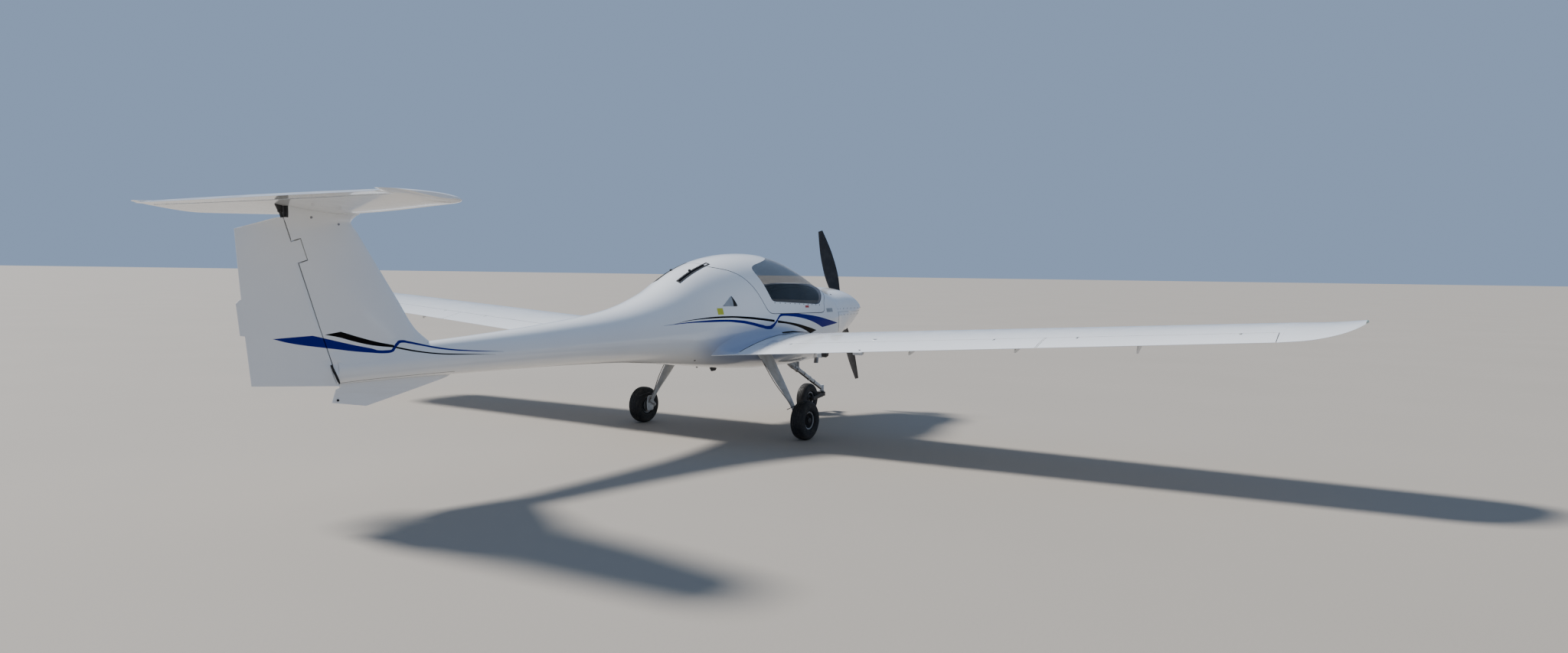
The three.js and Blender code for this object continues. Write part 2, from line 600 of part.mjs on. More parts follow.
function wings() {
  const [root, end] = WING;
  const section = (y) => {
    const t = (y - root.y) / (end.y - root.y);
    const mix = (key) => root[key] + (end[key] - root[key]) * t;
    return { y, le: mix('le'), te: mix('te'), z: mix('z'), thick: mix('thick') };
  };
  const hingeX = (y) => HINGE.rootX + ((HINGE.tipX - HINGE.rootX) * (y - root.y)) / (end.y - root.y);
  const hingePoint = (y) => {
    const at = wingAt(section(y), hingeX(y));
    return { point: [hingeX(y), y, at.z], half: at.half };
  };
  const surfaces = [['flap', FLAP], ['aileron', AILERON]];
  let fixed = wingForm;
  surfaces.forEach(([name, span]) => {
    const a = hingePoint(span.from);
    const b = hingePoint(span.to);
    const run = new THREE.Vector3(...a.point).distanceTo(new THREE.Vector3(...b.point));
    const split = hinged(wingForm, {
      a: a.point,
      b: b.point,
      halfA: a.half,
      halfB: b.half,
      from: END_CLEAR / 2,
      to: run - END_CLEAR / 2,
      reach: SURFACE_REACH,
      lugs: SURFACE_LUGS.map((t) => t * run),
    });
    fixed = fixed.intersect(split.fixed);
    pair(name, split.moving, PAINT);
  });
  let wing = fixed.subtract(hull(300, 2300, -TOUCH));
  WING_ARMS.forEach(({ y, from, deep }) => {
    const { point, half } = hingePoint(y);
    const top = point[2] - half + 6;
    const x = point[0] + half * NOSE_GROWTH + 14;
    const arm = sidePlate([[x + 150, top + 4], [x + 40, top - deep * 0.6], [x - from, top - deep],
      [x - from, top - deep * 0.5], [x + 2, top]], y - WING_ARM_WIDTH / 2, WING_ARM_WIDTH);
    wing = wing.add(solid(arm));
  });
  pair('wing', wing, PAINT);
  const tip = TIP.map((row, i) => wingRing({ ...row, y: row.y + (i === 0 ? TOUCH : 0) }));
  pair('wingtip', solid(loft(tip)), PAINT);
  const lens = new THREE.SphereGeometry(1, 10, 6);
  lens.scale(...TIP_LIGHT.size);
  lens.translate(TIP_LIGHT.x, TIP[4].y, TIP_LIGHT.z);
  const beyondTip = solid(block([1200, TIP[4].y + TOUCH, 1100], [1500, 5600, 1400]));
  pair('tip_light', solid(lens).intersect(beyondTip), GLASS);
}

function stabRing(row) {
  const chord = row.le - row.te;
  return foil(row.thick, 0, 6).map(([back, up]) => [row.le - back * chord, row.y, STAB_Z + up * chord]);
}

function finRing(row) {
  const chord = row.le - row.te;
  return foil(row.thick / chord, 0, 7).map(([back, up]) => [row.le - back * chord, up * chord, row.z]);
}

/** A geometry or solid pitched nose down about the elevator's hinge, by degrees. */
function pitched(degrees) {
  return new THREE.Matrix4().makeTranslation(ELEVATOR.hingeX, 0, STAB_Z)
    .multiply(new THREE.Matrix4().makeRotationY(radians(degrees)))
    .multiply(new THREE.Matrix4().makeTranslation(-ELEVATOR.hingeX, 0, -STAB_Z));
}

/** The stabiliser and elevator. The result is the stabiliser's whole form, for the fin to meet. */
function tailplane() {
  const flat = solid(loft(STAB.map(stabRing)));
  const tipRow = STAB[4];
  const chord = tipRow.le - tipRow.te;
  const half = tipRow.thick * bulge((tipRow.le - ELEVATOR.hingeX) / chord) * chord;
  const parts = hinged(flat, {
    a: [ELEVATOR.hingeX, -ELEVATOR.half, STAB_Z],
    b: [ELEVATOR.hingeX, ELEVATOR.half, STAB_Z],
    halfA: half,
    halfB: half,
    from: 0,
    to: 2 * ELEVATOR.half,
    reach: ELEVATOR.reach,
    lugs: ELEVATOR.lugs.map((y) => y + ELEVATOR.half),
  });
  piece('elevator', shape(parts.moving).applyMatrix4(pitched(-ELEVATOR.droop)), PAINT);
  piece('stabiliser', shape(parts.fixed).applyMatrix4(pitched(STAB_PITCH)), PAINT);
  return solid(shape(flat).applyMatrix4(pitched(STAB_PITCH)));
}

function tail() {
  const stab = tailplane();
  const blade = solid(loft(FIN.map(finRing)));
  const lean = (RUDDER.highX - RUDDER.lowX) / (RUDDER.highZ - RUDDER.lowZ);
  const hingeAt = (z) => RUDDER.lowX + lean * (z - RUDDER.lowZ);
  const run = Math.hypot(RUDDER.highZ - RUDDER.lowZ, RUDDER.highX - RUDDER.lowX);
  const upAlong = run / (RUDDER.highZ - RUDDER.lowZ);
  const halfFin = (z) => {
    const front = along(FIN, 'z', 'le', z);
    const chord = front - along(FIN, 'z', 'te', z);
    return along(FIN, 'z', 'thick', z) * bulge((front - hingeAt(z)) / chord);
  };
  const hornLow = (RUDDER.hornLow - RUDDER.lowZ) * upAlong;
  const hornHigh = (RUDDER.hornHigh - RUDDER.lowZ) * upAlong;
  const finParts = hinged(blade, {
    a: [RUDDER.lowX, 0, RUDDER.lowZ],
    b: [RUDDER.highX, 0, RUDDER.highZ],
    halfA: halfFin(RUDDER.lowZ),
    halfB: halfFin(RUDDER.highZ),
    from: RUDDER_HINGE.start,
    to: run + RUDDER_HINGE.beyond,
    reach: RUDDER_HINGE.reach,
    lugs: RUDDER_HINGE.lugs.map((t) => t * run),
    horns: [[hornLow, hornHigh, RUDDER.horn]],
  });
  const finEnd = hingeAt(RUDDER.highZ) - RUDDER_HINGE.behind;
  const behindRudder = solid(block([-4000, -300, RUDDER.highZ - 400], [finEnd, 300, 2100]));
  const hullOut = hull(HULL[0].x - TOUCH, 0, -TOUCH);
  const stabLow = stab.translate(0, 0, -TOUCH).add(stab.translate(2 * TOUCH, 0, -TOUCH));
  const above = block([-4000, -1400, STAB_Z], [-2000, 1400, 2200]).applyMatrix4(pitched(STAB_PITCH));
  const belowTail = solid(block([-4000, -400, 500], [-1000, 400, 786]));
  const insideHull = solid(block([HULL[0].x, -400, 500], [-1000, 400, 900]));
  const fin = finParts.fixed.subtract(hullOut).subtract(behindRudder).subtract(stabLow).subtract(solid(above))
    .subtract(belowTail).subtract(insideHull);
  piece('fin', fin, PAINT);
  const tab = solid(sidePlate(TRIM_TAB.edge, -TRIM_TAB.thick / 2, TRIM_TAB.thick));
  const rudder = finParts.moving.intersect(solid(sidePlate(RUDDER_EDGE, -300, 600)));
  piece('rudder', rudder.add(tab), PAINT);
  const keel = loft(KEEL.map((row) => {
    const chord = row.front - KEEL_REAR;
    const level = foil((2 * row.half) / chord, 0, 5);
    return level.map(([back, up]) => [row.front - back * chord, up * chord, row.z]);
  }));
  const keelZone = solid(sidePlate(KEEL_EDGE, -300, 600));
  piece('ventral_fin', solid(keel).intersect(keelZone).subtract(hullOut).subtract(finParts.space), PAINT);
  return finParts.space;
}

// Landing gear

/** Tyre and rim profiles as closed rings of [radius, across]. */
function tyreProfile({ radius, width, rim }) {
  const w = width / 2;
  return [
    [rim + 1, -w * 0.62], [rim + 12, -w * 0.88], [radius * 0.74, -w], [radius * 0.91, -w * 0.85],
    [radius, -w * 0.42], [radius, w * 0.42], [radius * 0.91, w * 0.85], [radius * 0.74, w],
    [rim + 12, w * 0.88], [rim + 1, w * 0.62], [rim + 1, -w * 0.62],
  ];
}

function rimProfile({ width, rim }, bore) {
  const w = width / 2;
  return [
    [bore, -w * 0.6], [bore + 16, -w * 0.6], [bore + 16, -w * 0.15], [rim - 12, -w * 0.15],
    [rim - 8, -w * 0.62], [rim + 0.5, -w * 0.62], [rim + 0.5, w * 0.62], [rim - 8, w * 0.62],
    [rim - 12, w * 0.1], [bore + 16, w * 0.1], [bore + 16, w * 0.6], [bore, w * 0.6], [bore, -w * 0.6],
  ];
}

const AXLE = { radius: 16, bore: 16.8, nut: 25, flange: 34 };
// Level sections of the left main leg from the wing down, ahead being how far each is before the axle.
const LEG = [
  { y: 480, z: 790, ahead: 0, chord: 205, thick: 46 },
  { y: 560, z: 690, ahead: 0, chord: 186, thick: 42 },
  { y: 679, z: 511, ahead: 4, chord: 136, thick: 38 },
  { y: 800, z: 330, ahead: 8, chord: 60, thick: 34 },
  { y: 868, z: 200, ahead: 0, chord: 52, thick: 30 },
  { y: 868, z: 150, ahead: 0, chord: 46, thick: 26 },
];
const LEG_SIDES = 12;
const LEG_GAP = 20;

/** An oval level section of a leg whose axle is at x. */
function legRing(x, { y, z, ahead, chord, thick }) {
  const ring = [];
  for (let i = 0; i < LEG_SIDES; i += 1) {
    const angle = (i * 2 * Math.PI) / LEG_SIDES;
    ring.push([x + ahead + (chord / 2) * Math.cos(angle), y + (thick / 2) * Math.sin(angle), z]);
  }
  return ring;
}

function mainGear() {
  const y = MAIN.track / 2;
  const w = MAIN.width / 2;
  const wheelAt = [MAIN.x, y, MAIN.radius];
  pair('tyre_main', turned(tyreProfile(MAIN), wheelAt, [0, 1, 0], 28), RUBBER);
  pair('rim_main', turned(rimProfile(MAIN, AXLE.bore), wheelAt, [0, 1, 0], 20), ALLOY);
  let leg = solid(loft(LEG.map((row) => legRing(MAIN.x, row))));
  leg = leg.subtract(hull(300, 2300, -TOUCH)).subtract(wingForm.translate(0, 0, -TOUCH));
  const foot = y - w - LEG_GAP;
  const rimEnd = y + w * 0.6;
  const axleParts = [
    [foot - 12, rimEnd + 8, AXLE.radius],
    [rimEnd + 1, rimEnd + 12, AXLE.nut],
    [foot - 12, foot + 16, AXLE.flange],
  ];
  axleParts.forEach(([from, to, radius]) => {
    leg = leg.add(solid(bar([MAIN.x, from, MAIN.radius], [MAIN.x, to, MAIN.radius], radius, radius, 16)));
  });
  pair('main_leg', leg, LEG_PAINT);
}

// The nose wheel's fork: its arms seen from the side, the bridge behind the pivot and the pivot itself.
const FORK = {
  armOut: 22,
  armWidth: 12,
  arm: [
    [NOSE.x - 24, NOSE.radius - 19], [NOSE.x + 24, NOSE.radius - 20], [NOSE.pivotX - 60, 176],
    [NOSE.pivotX - 60, 214], [NOSE.x + 18, NOSE.radius + 22], [NOSE.x - 24, NOSE.radius + 19],
  ],
  bridge: { from: NOSE.pivotX - 84, to: NOSE.pivotX - 50, low: 172, high: 220 },
  neck: { from: NOSE.pivotX - 60, half: 26, high: 216 },
  pivot: { low: 160, high: 220, radius: 32 },
  pin: { low: 210, high: 272, radius: 14, hole: 14.6 },
};
const NOSE_LEG = {
  top: [2330, 0, 622],
  foot: [NOSE.pivotX - 24, 0, 261],
  radius: 24,
  footRadius: 22,
  socket: { high: 286, radius: 27 },
};

/** An upright round bar at the nose wheel's pivot. */
function atPivot(low, high, radius) {
  return solid(bar([NOSE.pivotX, 0, low], [NOSE.pivotX, 0, high], radius, radius, 16));
}

function noseGear() {
  const w = NOSE.width / 2;
  const wheelAt = [NOSE.x, 0, NOSE.radius];
  piece('tyre_nose', turned(tyreProfile(NOSE), wheelAt, [0, 1, 0], 28), RUBBER);
  piece('rim_nose', turned(rimProfile(NOSE, AXLE.bore), wheelAt, [0, 1, 0], 20), ALLOY);
  const { armOut, armWidth, arm, bridge, neck, pivot, pin } = FORK;
  const armY = w + armOut;
  const outerY = armY + armWidth / 2;
  const axleY = outerY + 2;
  const axle = bar([NOSE.x, -axleY, NOSE.radius], [NOSE.x, axleY, NOSE.radius], AXLE.radius, AXLE.radius, 16);
  let fork = solid(axle);
  [-1, 1].forEach((side) => {
    fork = fork.add(solid(sidePlate(arm, side * armY - armWidth / 2, armWidth)));
  });
  fork = fork.add(solid(block([bridge.from, -outerY, bridge.low], [bridge.to, outerY, bridge.high])));
  fork = fork.add(solid(block([neck.from, -neck.half, bridge.low], [NOSE.pivotX, neck.half, neck.high])));
  fork = fork.add(atPivot(pivot.low, pivot.high, pivot.radius)).add(atPivot(pin.low, pin.high, pin.radius));
  piece('nose_fork', fork, DARK);
  let leg = solid(bar(NOSE_LEG.top, NOSE_LEG.foot, NOSE_LEG.radius, NOSE_LEG.footRadius, 16));
  leg = leg.add(atPivot(pivot.high + TOUCH, NOSE_LEG.socket.high, NOSE_LEG.socket.radius));
  leg = leg.subtract(atPivot(pivot.high - 4, pin.high + 2, pin.hole));
  leg = leg.subtract(hull(2000, FIREWALL_X, -TOUCH)).subtract(hull(FIREWALL_X - 10, 2800, -TOUCH));
  piece('nose_leg', leg, LEG_PAINT);
}

// Propeller

const BLADE = [
  { r: 40, chord: 92, thick: 74, pitch: 62 },
  { r: 150, chord: 112, thick: 46, pitch: 46 },
  { r: 300, chord: 146, thick: 27, pitch: 33 },
  { r: 420, chord: 152, thick: 20, pitch: 27 },
  { r: 600, chord: 134, thick: 14, pitch: 22 },
  { r: 730, chord: 100, thick: 10, pitch: 19 },
  { r: 872, chord: 52, thick: 6, pitch: 16 },
];
const BLADE_SIDES = 12;

function bladeRing(row, grow = 0) {
  const ring = [];
  const turn = radians(row.pitch);
  for (let i = 0; i < BLADE_SIDES; i += 1) {
    const angle = (i * 2 * Math.PI) / BLADE_SIDES;
    const a = (row.chord / 2 + grow) * Math.cos(angle);
    const b = (row.thick / 2 + grow) * Math.sin(angle);
    ring.push([b * Math.cos(turn) + a * Math.sin(turn), b * Math.sin(turn) - a * Math.cos(turn), row.r]);
  }
  return ring;
}

const BLADE_ROOM = 5;
const HUB = { radius: 74, hole: 75.5 };

function propeller() {
  const low = PROP.x - PROP.boss / 2;
  const high = PROP.x + PROP.boss / 2;
  const turn = (geometry, angle) => solid(geometry.rotateX(radians(angle)).translate(PROP.x, 0, PROP.z));
  const boss = solid(bar([low, 0, PROP.z], [high, 0, PROP.z], HUB.radius, HUB.radius, 16));
  let hub = boss;
  let room = boss;
  [0, 180].forEach((half) => {
    hub = hub.add(turn(loft(BLADE.map((row) => bladeRing(row))), half - PROP.tilt));
    room = room.add(turn(loft(BLADE.map((row) => bladeRing(row, BLADE_ROOM))), half - PROP.tilt));
  });
  piece('propeller', hub, DARK);
  const r = SPINNER_RADIUS;
  const back = low + 4;
  const outline = [
    [HUB.hole, back], [r, back], [r * 0.97, back + 50], [r * 0.84, back + 104], [r * 0.53, back + 152],
    [0, NOSE_X],
  ];
  const lining = [
    [0, NOSE_X - 10], [r * 0.47, back + 146], [r * 0.79, back + 98], [r * 0.93, back + 47],
    [r * 0.96, back + 6], [HUB.hole, back + 6], [HUB.hole, back],
  ];
  const dome = solid(turned([...outline, ...lining], [0, 0, PROP.z], [1, 0, 0], 24));
  piece('spinner', dome.subtract(room.subtract(boss)), PAINT);
}

// Cabin

// Seats: their middles, their width and the side outlines of cushion, back and the rest behind them.
const SEAT = { middle: 265, width: 450, boxFrom: 985, boxTo: 1560, top: 800 };
const CUSHION = [
  [1010, SEAT.top + TOUCH], [1500, SEAT.top + TOUCH], [1540, 830], [1500, 905], [1000, 880],
];
const SEAT_BACK = [[993.9, 880.2], [1085, 884.7], [868, 1400], [774.2, 1400], [994.5, 884.1]];
const SEAT_REST = [[910, 600], [950, 600], [994, 884], [772, 1404], [732, 1404], [950, 890]];
const STICK = {
  foot: [1640, 618], bend: [1620, 960], grip: [1620, 950], top: [1600, 1060], thin: 11, thick: 18,
};
const CONSOLE = { from: 1564, to: 2000, half: 65, high: 930 };
const PANEL = [
  [1990, 935], [2040, 935], [2040, 1170], [2330, 1230], [2330, 1250], [1960, 1222], [1960, 1206],
  [1990, 1200],
];
const PEDALS = { x: 2330, low: 690, high: 860, rod: 420, radius: 10, y: [-330, -200, 200, 330], half: 35 };

function cabin() {
  const seatBox = solid(block([SEAT.boxFrom, -700, 500], [SEAT.boxTo, 700, SEAT.top]));
  piece('seat_box', cabinRoom.intersect(seatBox), INNER);
  [['left', 1], ['right', -1]].forEach(([name, side]) => {
    const middle = side * SEAT.middle;
    const from = middle - SEAT.width / 2;
    piece(`seat_cushion_${name}`, cabinRoom.intersect(solid(sidePlate(CUSHION, from, SEAT.width))), CLOTH);
    piece(`seat_back_${name}`, cabinRoom.intersect(solid(sidePlate(SEAT_BACK, from, SEAT.width))), CLOTH);
    const at = ([x, z]) => [x, middle, z];
    const stick = solid(bar(at(STICK.foot), at(STICK.bend), STICK.thin, STICK.thin, 12))
      .add(solid(bar(at(STICK.grip), at(STICK.top), STICK.thick, STICK.thick, 12)));
    piece(`stick_${name}`, stick.intersect(cabinRoom), DARK);
  });
  piece('seat_rest', cabinRoom.intersect(sideZone(SEAT_REST)), INNER);
  const pedestal = solid(block([CONSOLE.from, -CONSOLE.half, 500], [CONSOLE.to, CONSOLE.half, CONSOLE.high]));
  piece('centre_console', cabinRoom.intersect(pedestal), INNER);
  piece('instrument_panel', cabinRoom.intersect(sideZone(PANEL)), DARK);
  const { x, low, high, rod, radius, half } = PEDALS;
  let pedals = solid(bar([x, -rod, low], [x, rod, low], radius, radius, 12));
  PEDALS.y.forEach((y) => {
    pedals = pedals.add(solid(block([x - 8, y - half, low], [x + 4, y + half, high])));
  });
  piece('rudder_pedals', cabinRoom.intersect(pedals), STEEL);
}

fuselage(tail());
firewallAndEngine();
cowlings();
canopy();
wings();
mainGear();
noseGear();
propeller();
cabin();

export default aircraft;
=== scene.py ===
"""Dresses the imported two-seat light aircraft in smooth painted shells, glass, tyres and a lit studio.

Every piece is modelled in metres in the frame's own axes: X forward, Y left, Z up, with the ground at
zero. Tables of sections are in millimetres, as a maker's drawing gives them, and are scaled once.
"""

import logging
import math
from collections.abc import Callable, Sequence
from dataclasses import dataclass
from enum import Enum

import bmesh
import bpy
from mathutils import Matrix, Vector


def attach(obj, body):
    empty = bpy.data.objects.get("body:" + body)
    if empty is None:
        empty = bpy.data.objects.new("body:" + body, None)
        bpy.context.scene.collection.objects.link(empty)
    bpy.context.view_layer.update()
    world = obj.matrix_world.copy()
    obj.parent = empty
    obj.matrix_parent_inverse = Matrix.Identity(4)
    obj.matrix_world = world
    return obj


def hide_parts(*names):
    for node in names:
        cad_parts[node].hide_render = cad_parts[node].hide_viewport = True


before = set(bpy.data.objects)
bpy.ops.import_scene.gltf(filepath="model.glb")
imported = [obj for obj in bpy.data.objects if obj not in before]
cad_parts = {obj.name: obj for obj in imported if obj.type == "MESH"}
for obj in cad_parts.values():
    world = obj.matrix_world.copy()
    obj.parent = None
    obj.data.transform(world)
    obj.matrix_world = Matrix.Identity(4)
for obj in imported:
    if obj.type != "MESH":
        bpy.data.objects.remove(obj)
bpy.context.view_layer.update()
LOG = logging.getLogger("aircraft")
MM = 0.001
AIRFRAME = "airframe"

Body = bpy.types.Object
Material = bpy.types.Material
Socket = bpy.types.NodeSocket
Ring = list[Vector]
Pair = tuple[float, float]
Point = tuple[float, float, float]
Colour = tuple[float, float, float]
Outline = Sequence[Pair]


class Side(Enum):
    """The two sides of the aircraft, by the sign of their Y."""

    LEFT = 1
    RIGHT = -1

    @property
    def word(self) -> str:
        """The side as it ends a node's name."""
        return self.name.lower()


class Cut(Enum):
    """What a tool does to a body."""

    REMOVE = "DIFFERENCE"
    ADD = "UNION"
    KEEP = "INTERSECT"


# Mesh tools


def make_object(name: str, mesh: bpy.types.Mesh) -> Body:
    """Puts a mesh in the scene as an object at the origin.

    Args:
        name: the object's name.
        mesh: its mesh.

    Returns:
        The new object.
    """
    made = bpy.data.objects.new(name, mesh)
    bpy.context.scene.collection.objects.link(made)
    return made


def from_bmesh(name: str, bm: bmesh.types.BMesh) -> Body:
    """Turns a finished bmesh into an object, with doubles merged and faces pointing outwards.

    Args:
        name: the object's name.
        bm: the mesh, which is freed.

    Returns:
        The new object.
    """
    bmesh.ops.remove_doubles(bm, verts=bm.verts, dist=1e-6)
    bmesh.ops.recalc_face_normals(bm, faces=bm.faces)
    mesh = bpy.data.meshes.new(name)
    bm.to_mesh(mesh)
    bm.free()
    return make_object(name, mesh)


def place_ring(verts: Sequence[bmesh.types.BMVert], ring: Ring) -> None:
    """Moves a row of vertices onto the points of a ring."""
    for vert, point in zip(verts, ring, strict=True):
        vert.co = point


def loft(name: str, rings: Sequence[Ring]) -> Body:
    """A closed skin through rings of equal count, with both ends capped.

    Args:
        name: the object's name.
        rings: the sections in order.

    Returns:
        The lofted object.
    """
    bm = bmesh.new()
    circle = bmesh.ops.create_circle(bm, cap_ends=True, segments=len(rings[0]), radius=1.0)
    row = list(circle["verts"])
    place_ring(row, rings[0])
    edges = list(bm.edges)
    for ring in rings[1:]:
        grown = bmesh.ops.extrude_edge_only(bm, edges=edges)["geom"]
        fresh = {g for g in grown if isinstance(g, bmesh.types.BMVert)}
        row = [next(e.other_vert(v) for e in v.link_edges if e.other_vert(v) in fresh) for v in row]
        edges = [g for g in grown if isinstance(g, bmesh.types.BMEdge) and set(g.verts) <= fresh]
        place_ring(row, ring)
    bmesh.ops.edgeloop_fill(bm, edges=edges)
    return from_bmesh(name, bm)


def box(name: str, low: Sequence[float], high: Sequence[float], place: Matrix | None = None) -> Body:
    """A box from its lowest to its highest corner in millimetres, carried by an optional matrix.

    Args:
        name: the object's name.
        low: its lowest corner.
        high: its highest corner.
        place: a matrix that carries it into place.

    Returns:
        The box.
    """
    bm = bmesh.new()
    bmesh.ops.create_cube(bm, size=1.0)
    size = [h - l for l, h in zip(low, high)]
    middle = [(h + l) / 2 * MM for l, h in zip(low, high)]
    bmesh.ops.scale(bm, vec=[s * MM for s in size], verts=bm.verts)
    bmesh.ops.translate(bm, vec=middle, verts=bm.verts)
    if place is not None:
        bmesh.ops.transform(bm, matrix=place, verts=bm.verts)
    return from_bmesh(name, bm)


def rod(
    name: str,
    start: Sequence[float],
    end: Sequence[float],
    radius: float,
    end_radius: float | None = None,
    segments: int = 48,
    place: Matrix | None = None,
) -> Body:
    """A round bar or cone between two points, all in millimetres.

    Args:
        name: the object's name.
        start: the middle of its first end.
        end: the middle of its other end.
        radius: its radius at the start.
        end_radius: its radius at the end, where that differs.
        segments: how many sides it has.
        place: a matrix that carries it into place.

    Returns:
        The bar.
    """
    a, b = Vector(start) * MM, Vector(end) * MM
    bm = bmesh.new()
    bmesh.ops.create_cone(
        bm,
        cap_ends=True,
        segments=segments,
        radius1=radius * MM,
        radius2=(radius if end_radius is None else end_radius) * MM,
        depth=(b - a).length,
    )
    turn = (b - a).to_track_quat("Z", "Y").to_matrix().to_4x4()
    bmesh.ops.transform(bm, matrix=Matrix.Translation((a + b) / 2) @ turn, verts=bm.verts)
    if place is not None:
        bmesh.ops.transform(bm, matrix=place, verts=bm.verts)
    return from_bmesh(name, bm)


def plate(name: str, outline: Outline, low: float, high: float) -> Body:
    """A flat outline of the side view, as (x, z) in millimetres, from Y low to Y high.

    Args:
        name: the object's name.
        outline: its corners, in order.
        low: the Y of its right face.
        high: the Y of its left face.

    Returns:
        The plate.
    """
    bm = bmesh.new()
    circle = bmesh.ops.create_circle(bm, cap_ends=True, segments=len(outline), radius=1.0)
    place_ring(circle["verts"], [Vector((x, low, z)) * MM for x, z in outline])
    pushed = bmesh.ops.extrude_face_region(bm, geom=list(bm.faces))["geom"]
    moved = [g for g in pushed if isinstance(g, bmesh.types.BMVert)]
    bmesh.ops.translate(bm, vec=(0, (high - low) * MM, 0), verts=moved)
    return from_bmesh(name, bm)


def turned(
    name: str,
    profile: Outline,
    centre: Sequence[float],
    axis: Sequence[float],
    steps: int = 96,
) -> Body:
    """A closed profile of (radius, offset along the axis) in millimetres, spun once round.

    Args:
        name: the object's name.
        profile: the section, in order.
        centre: where the offset is nought.
        axis: the direction that it is spun about.
        steps: how many pieces one turn has.

    Returns:
        The turned body.
    """
    bm = bmesh.new()
    circle = bmesh.ops.create_circle(bm, cap_ends=False, segments=len(profile), radius=1.0)
    place_ring(circle["verts"], [Vector((r, 0, z)) * MM for r, z in profile])
    bmesh.ops.spin(
        bm,
        geom=list(bm.verts) + list(bm.edges),
        cent=(0, 0, 0),
        axis=(0, 0, 1),
        angle=math.tau,
        steps=steps,
        use_merge=True,
    )
    turn = Vector(axis).to_track_quat("Z", "Y").to_matrix().to_4x4()
    bmesh.ops.transform(bm, matrix=Matrix.Translation(Vector(centre) * MM) @ turn, verts=bm.verts)
    return from_bmesh(name, bm)


def evaluated(body: Body) -> None:
    """Applies a body's modifiers to its own mesh.

    Args:
        body: the object whose mesh is replaced.
    """
    graph = bpy.context.evaluated_depsgraph_get()
    mesh = bpy.data.meshes.new_from_object(body.evaluated_get(graph), depsgraph=graph)
    body.modifiers.clear()
    old = body.data
    body.data = mesh
    bpy.data.meshes.remove(old)


def discard(*objects: Body) -> None:
    """Deletes tools that are no longer needed."""
    for tool in objects:
        mesh = tool.data
        bpy.data.objects.remove(tool)
        bpy.data.meshes.remove(mesh)


def carve(body: Body, tool: Body, cut: Cut = Cut.REMOVE, keep: bool = False) -> None:
    """Cuts a body with a closed tool.

    Args:
        body: the object whose mesh changes.
        tool: the closed object that cuts, joins or bounds it.
        cut: what the tool does.
        keep: leaves the tool in the scene for another cut.
    """
    step = body.modifiers.new("cut", "BOOLEAN")
    step.operation = cut.value
    step.object = tool
    step.solver = "MANIFOLD"
    evaluated(body)
    if not keep:
        discard(tool)


def copied(body: Body, name: str) -> Body:
    """A second object with its own copy of a body's mesh."""
    twin = make_object(name, body.data.copy())
    twin.data.name = name
    return twin


def mirrored(body: Body) -> Body:
    """A body's mirror image on the aircraft's other side, with its faces turned outwards again.

    Args:
        body: the piece on one side.

    Returns:
        The twin.
    """
    bm = bmesh.new()
    bm.from_mesh(body.data)
    bmesh.ops.scale(bm, vec=(1, -1, 1), verts=bm.verts)
    bmesh.ops.reverse_faces(bm, faces=bm.faces)
    mesh = bpy.data.meshes.new("twin")
    bm.to_mesh(mesh)
    bm.free()
    twin = make_object("twin", mesh)
    for material in body.data.materials:
        twin.data.materials.append(material)
    return twin


def pair(body: Body) -> tuple[tuple[Side, Body], ...]:
    """A left piece with its side, and then its mirror image with the right side."""
    return (Side.LEFT, body), (Side.RIGHT, mirrored(body))


def joined(name: str, parts: Sequence[Body]) -> Body:
    """Several objects gathered into one mesh, each keeping its material.

    Args:
        name: the object's name.
        parts: the objects, which are deleted.

    Returns:
        The one object.
    """
    bm = bmesh.new()
    slots: list[Material | None] = []
    for part in parts:
        first = len(bm.faces)
        bm.from_mesh(part.data)
        bm.faces.ensure_lookup_table()
        own = list(part.data.materials) or [None]
        places = []
        for material in own:
            if material not in slots:
                slots.append(material)
            places.append(slots.index(material))
        for face in bm.faces[first:]:
            face.material_index = places[min(face.material_index, len(places) - 1)]
    mesh = bpy.data.meshes.new(name)
    bm.to_mesh(mesh)
    bm.free()
    discard(*parts)
    whole = make_object(name, mesh)
    for material in slots:
        if material is not None:
            mesh.materials.append(material)
    return whole


def smooth(body: Body, angle: float = 32.0) -> Body:
    """Shades a body smooth, with edges sharper than the angle in degrees kept crisp.

    Args:
        body: the object to shade.
        angle: the sharpest edge that still looks round.

    Returns:
        The same object.
    """
    bm = bmesh.new()
    bm.from_mesh(body.data)
    limit = math.radians(angle)
    for face in bm.faces:
        face.smooth = True
    for edge in bm.edges:
        edge.smooth = len(edge.link_faces) == 2 and edge.calc_face_angle(0.0) < limit
    bm.to_mesh(body.data)
    bm.free()
    return body


def rounded(body: Body, width: float, segments: int = 3, angle: float = 35.0) -> Body:
    """Rounds the edges of a body that are sharper than an angle, by a width in millimetres.

    Args:
        body: the object whose mesh changes.
        width: how far each edge is cut back.
        segments: how many faces round an edge.
        angle: the flattest edge that is rounded, in degrees.

    Returns:
        The same object.
    """
    bm = bmesh.new()
    bm.from_mesh(body.data)
    bmesh.ops.remove_doubles(bm, verts=bm.verts, dist=1e-6)
    limit = math.radians(angle)
    flat = [e for e in bm.edges if len(e.link_faces) == 2 and e.calc_face_angle(0.0) < math.radians(1.0)]
    bmesh.ops.dissolve_limit(bm, angle_limit=math.radians(0.5), verts=bm.verts, edges=flat)
    sharp = [e for e in bm.edges if len(e.link_faces) == 2 and e.calc_face_angle(0.0) > limit]
    bmesh.ops.bevel(
        bm,
        geom=sharp,
        offset=width * MM,
        offset_type="OFFSET",
        affect="EDGES",
        segments=segments,
        profile=0.5,
        material=-1,
        clamp_overlap=True,
    )
    bm.to_mesh(body.data)
    bm.free()
    return body


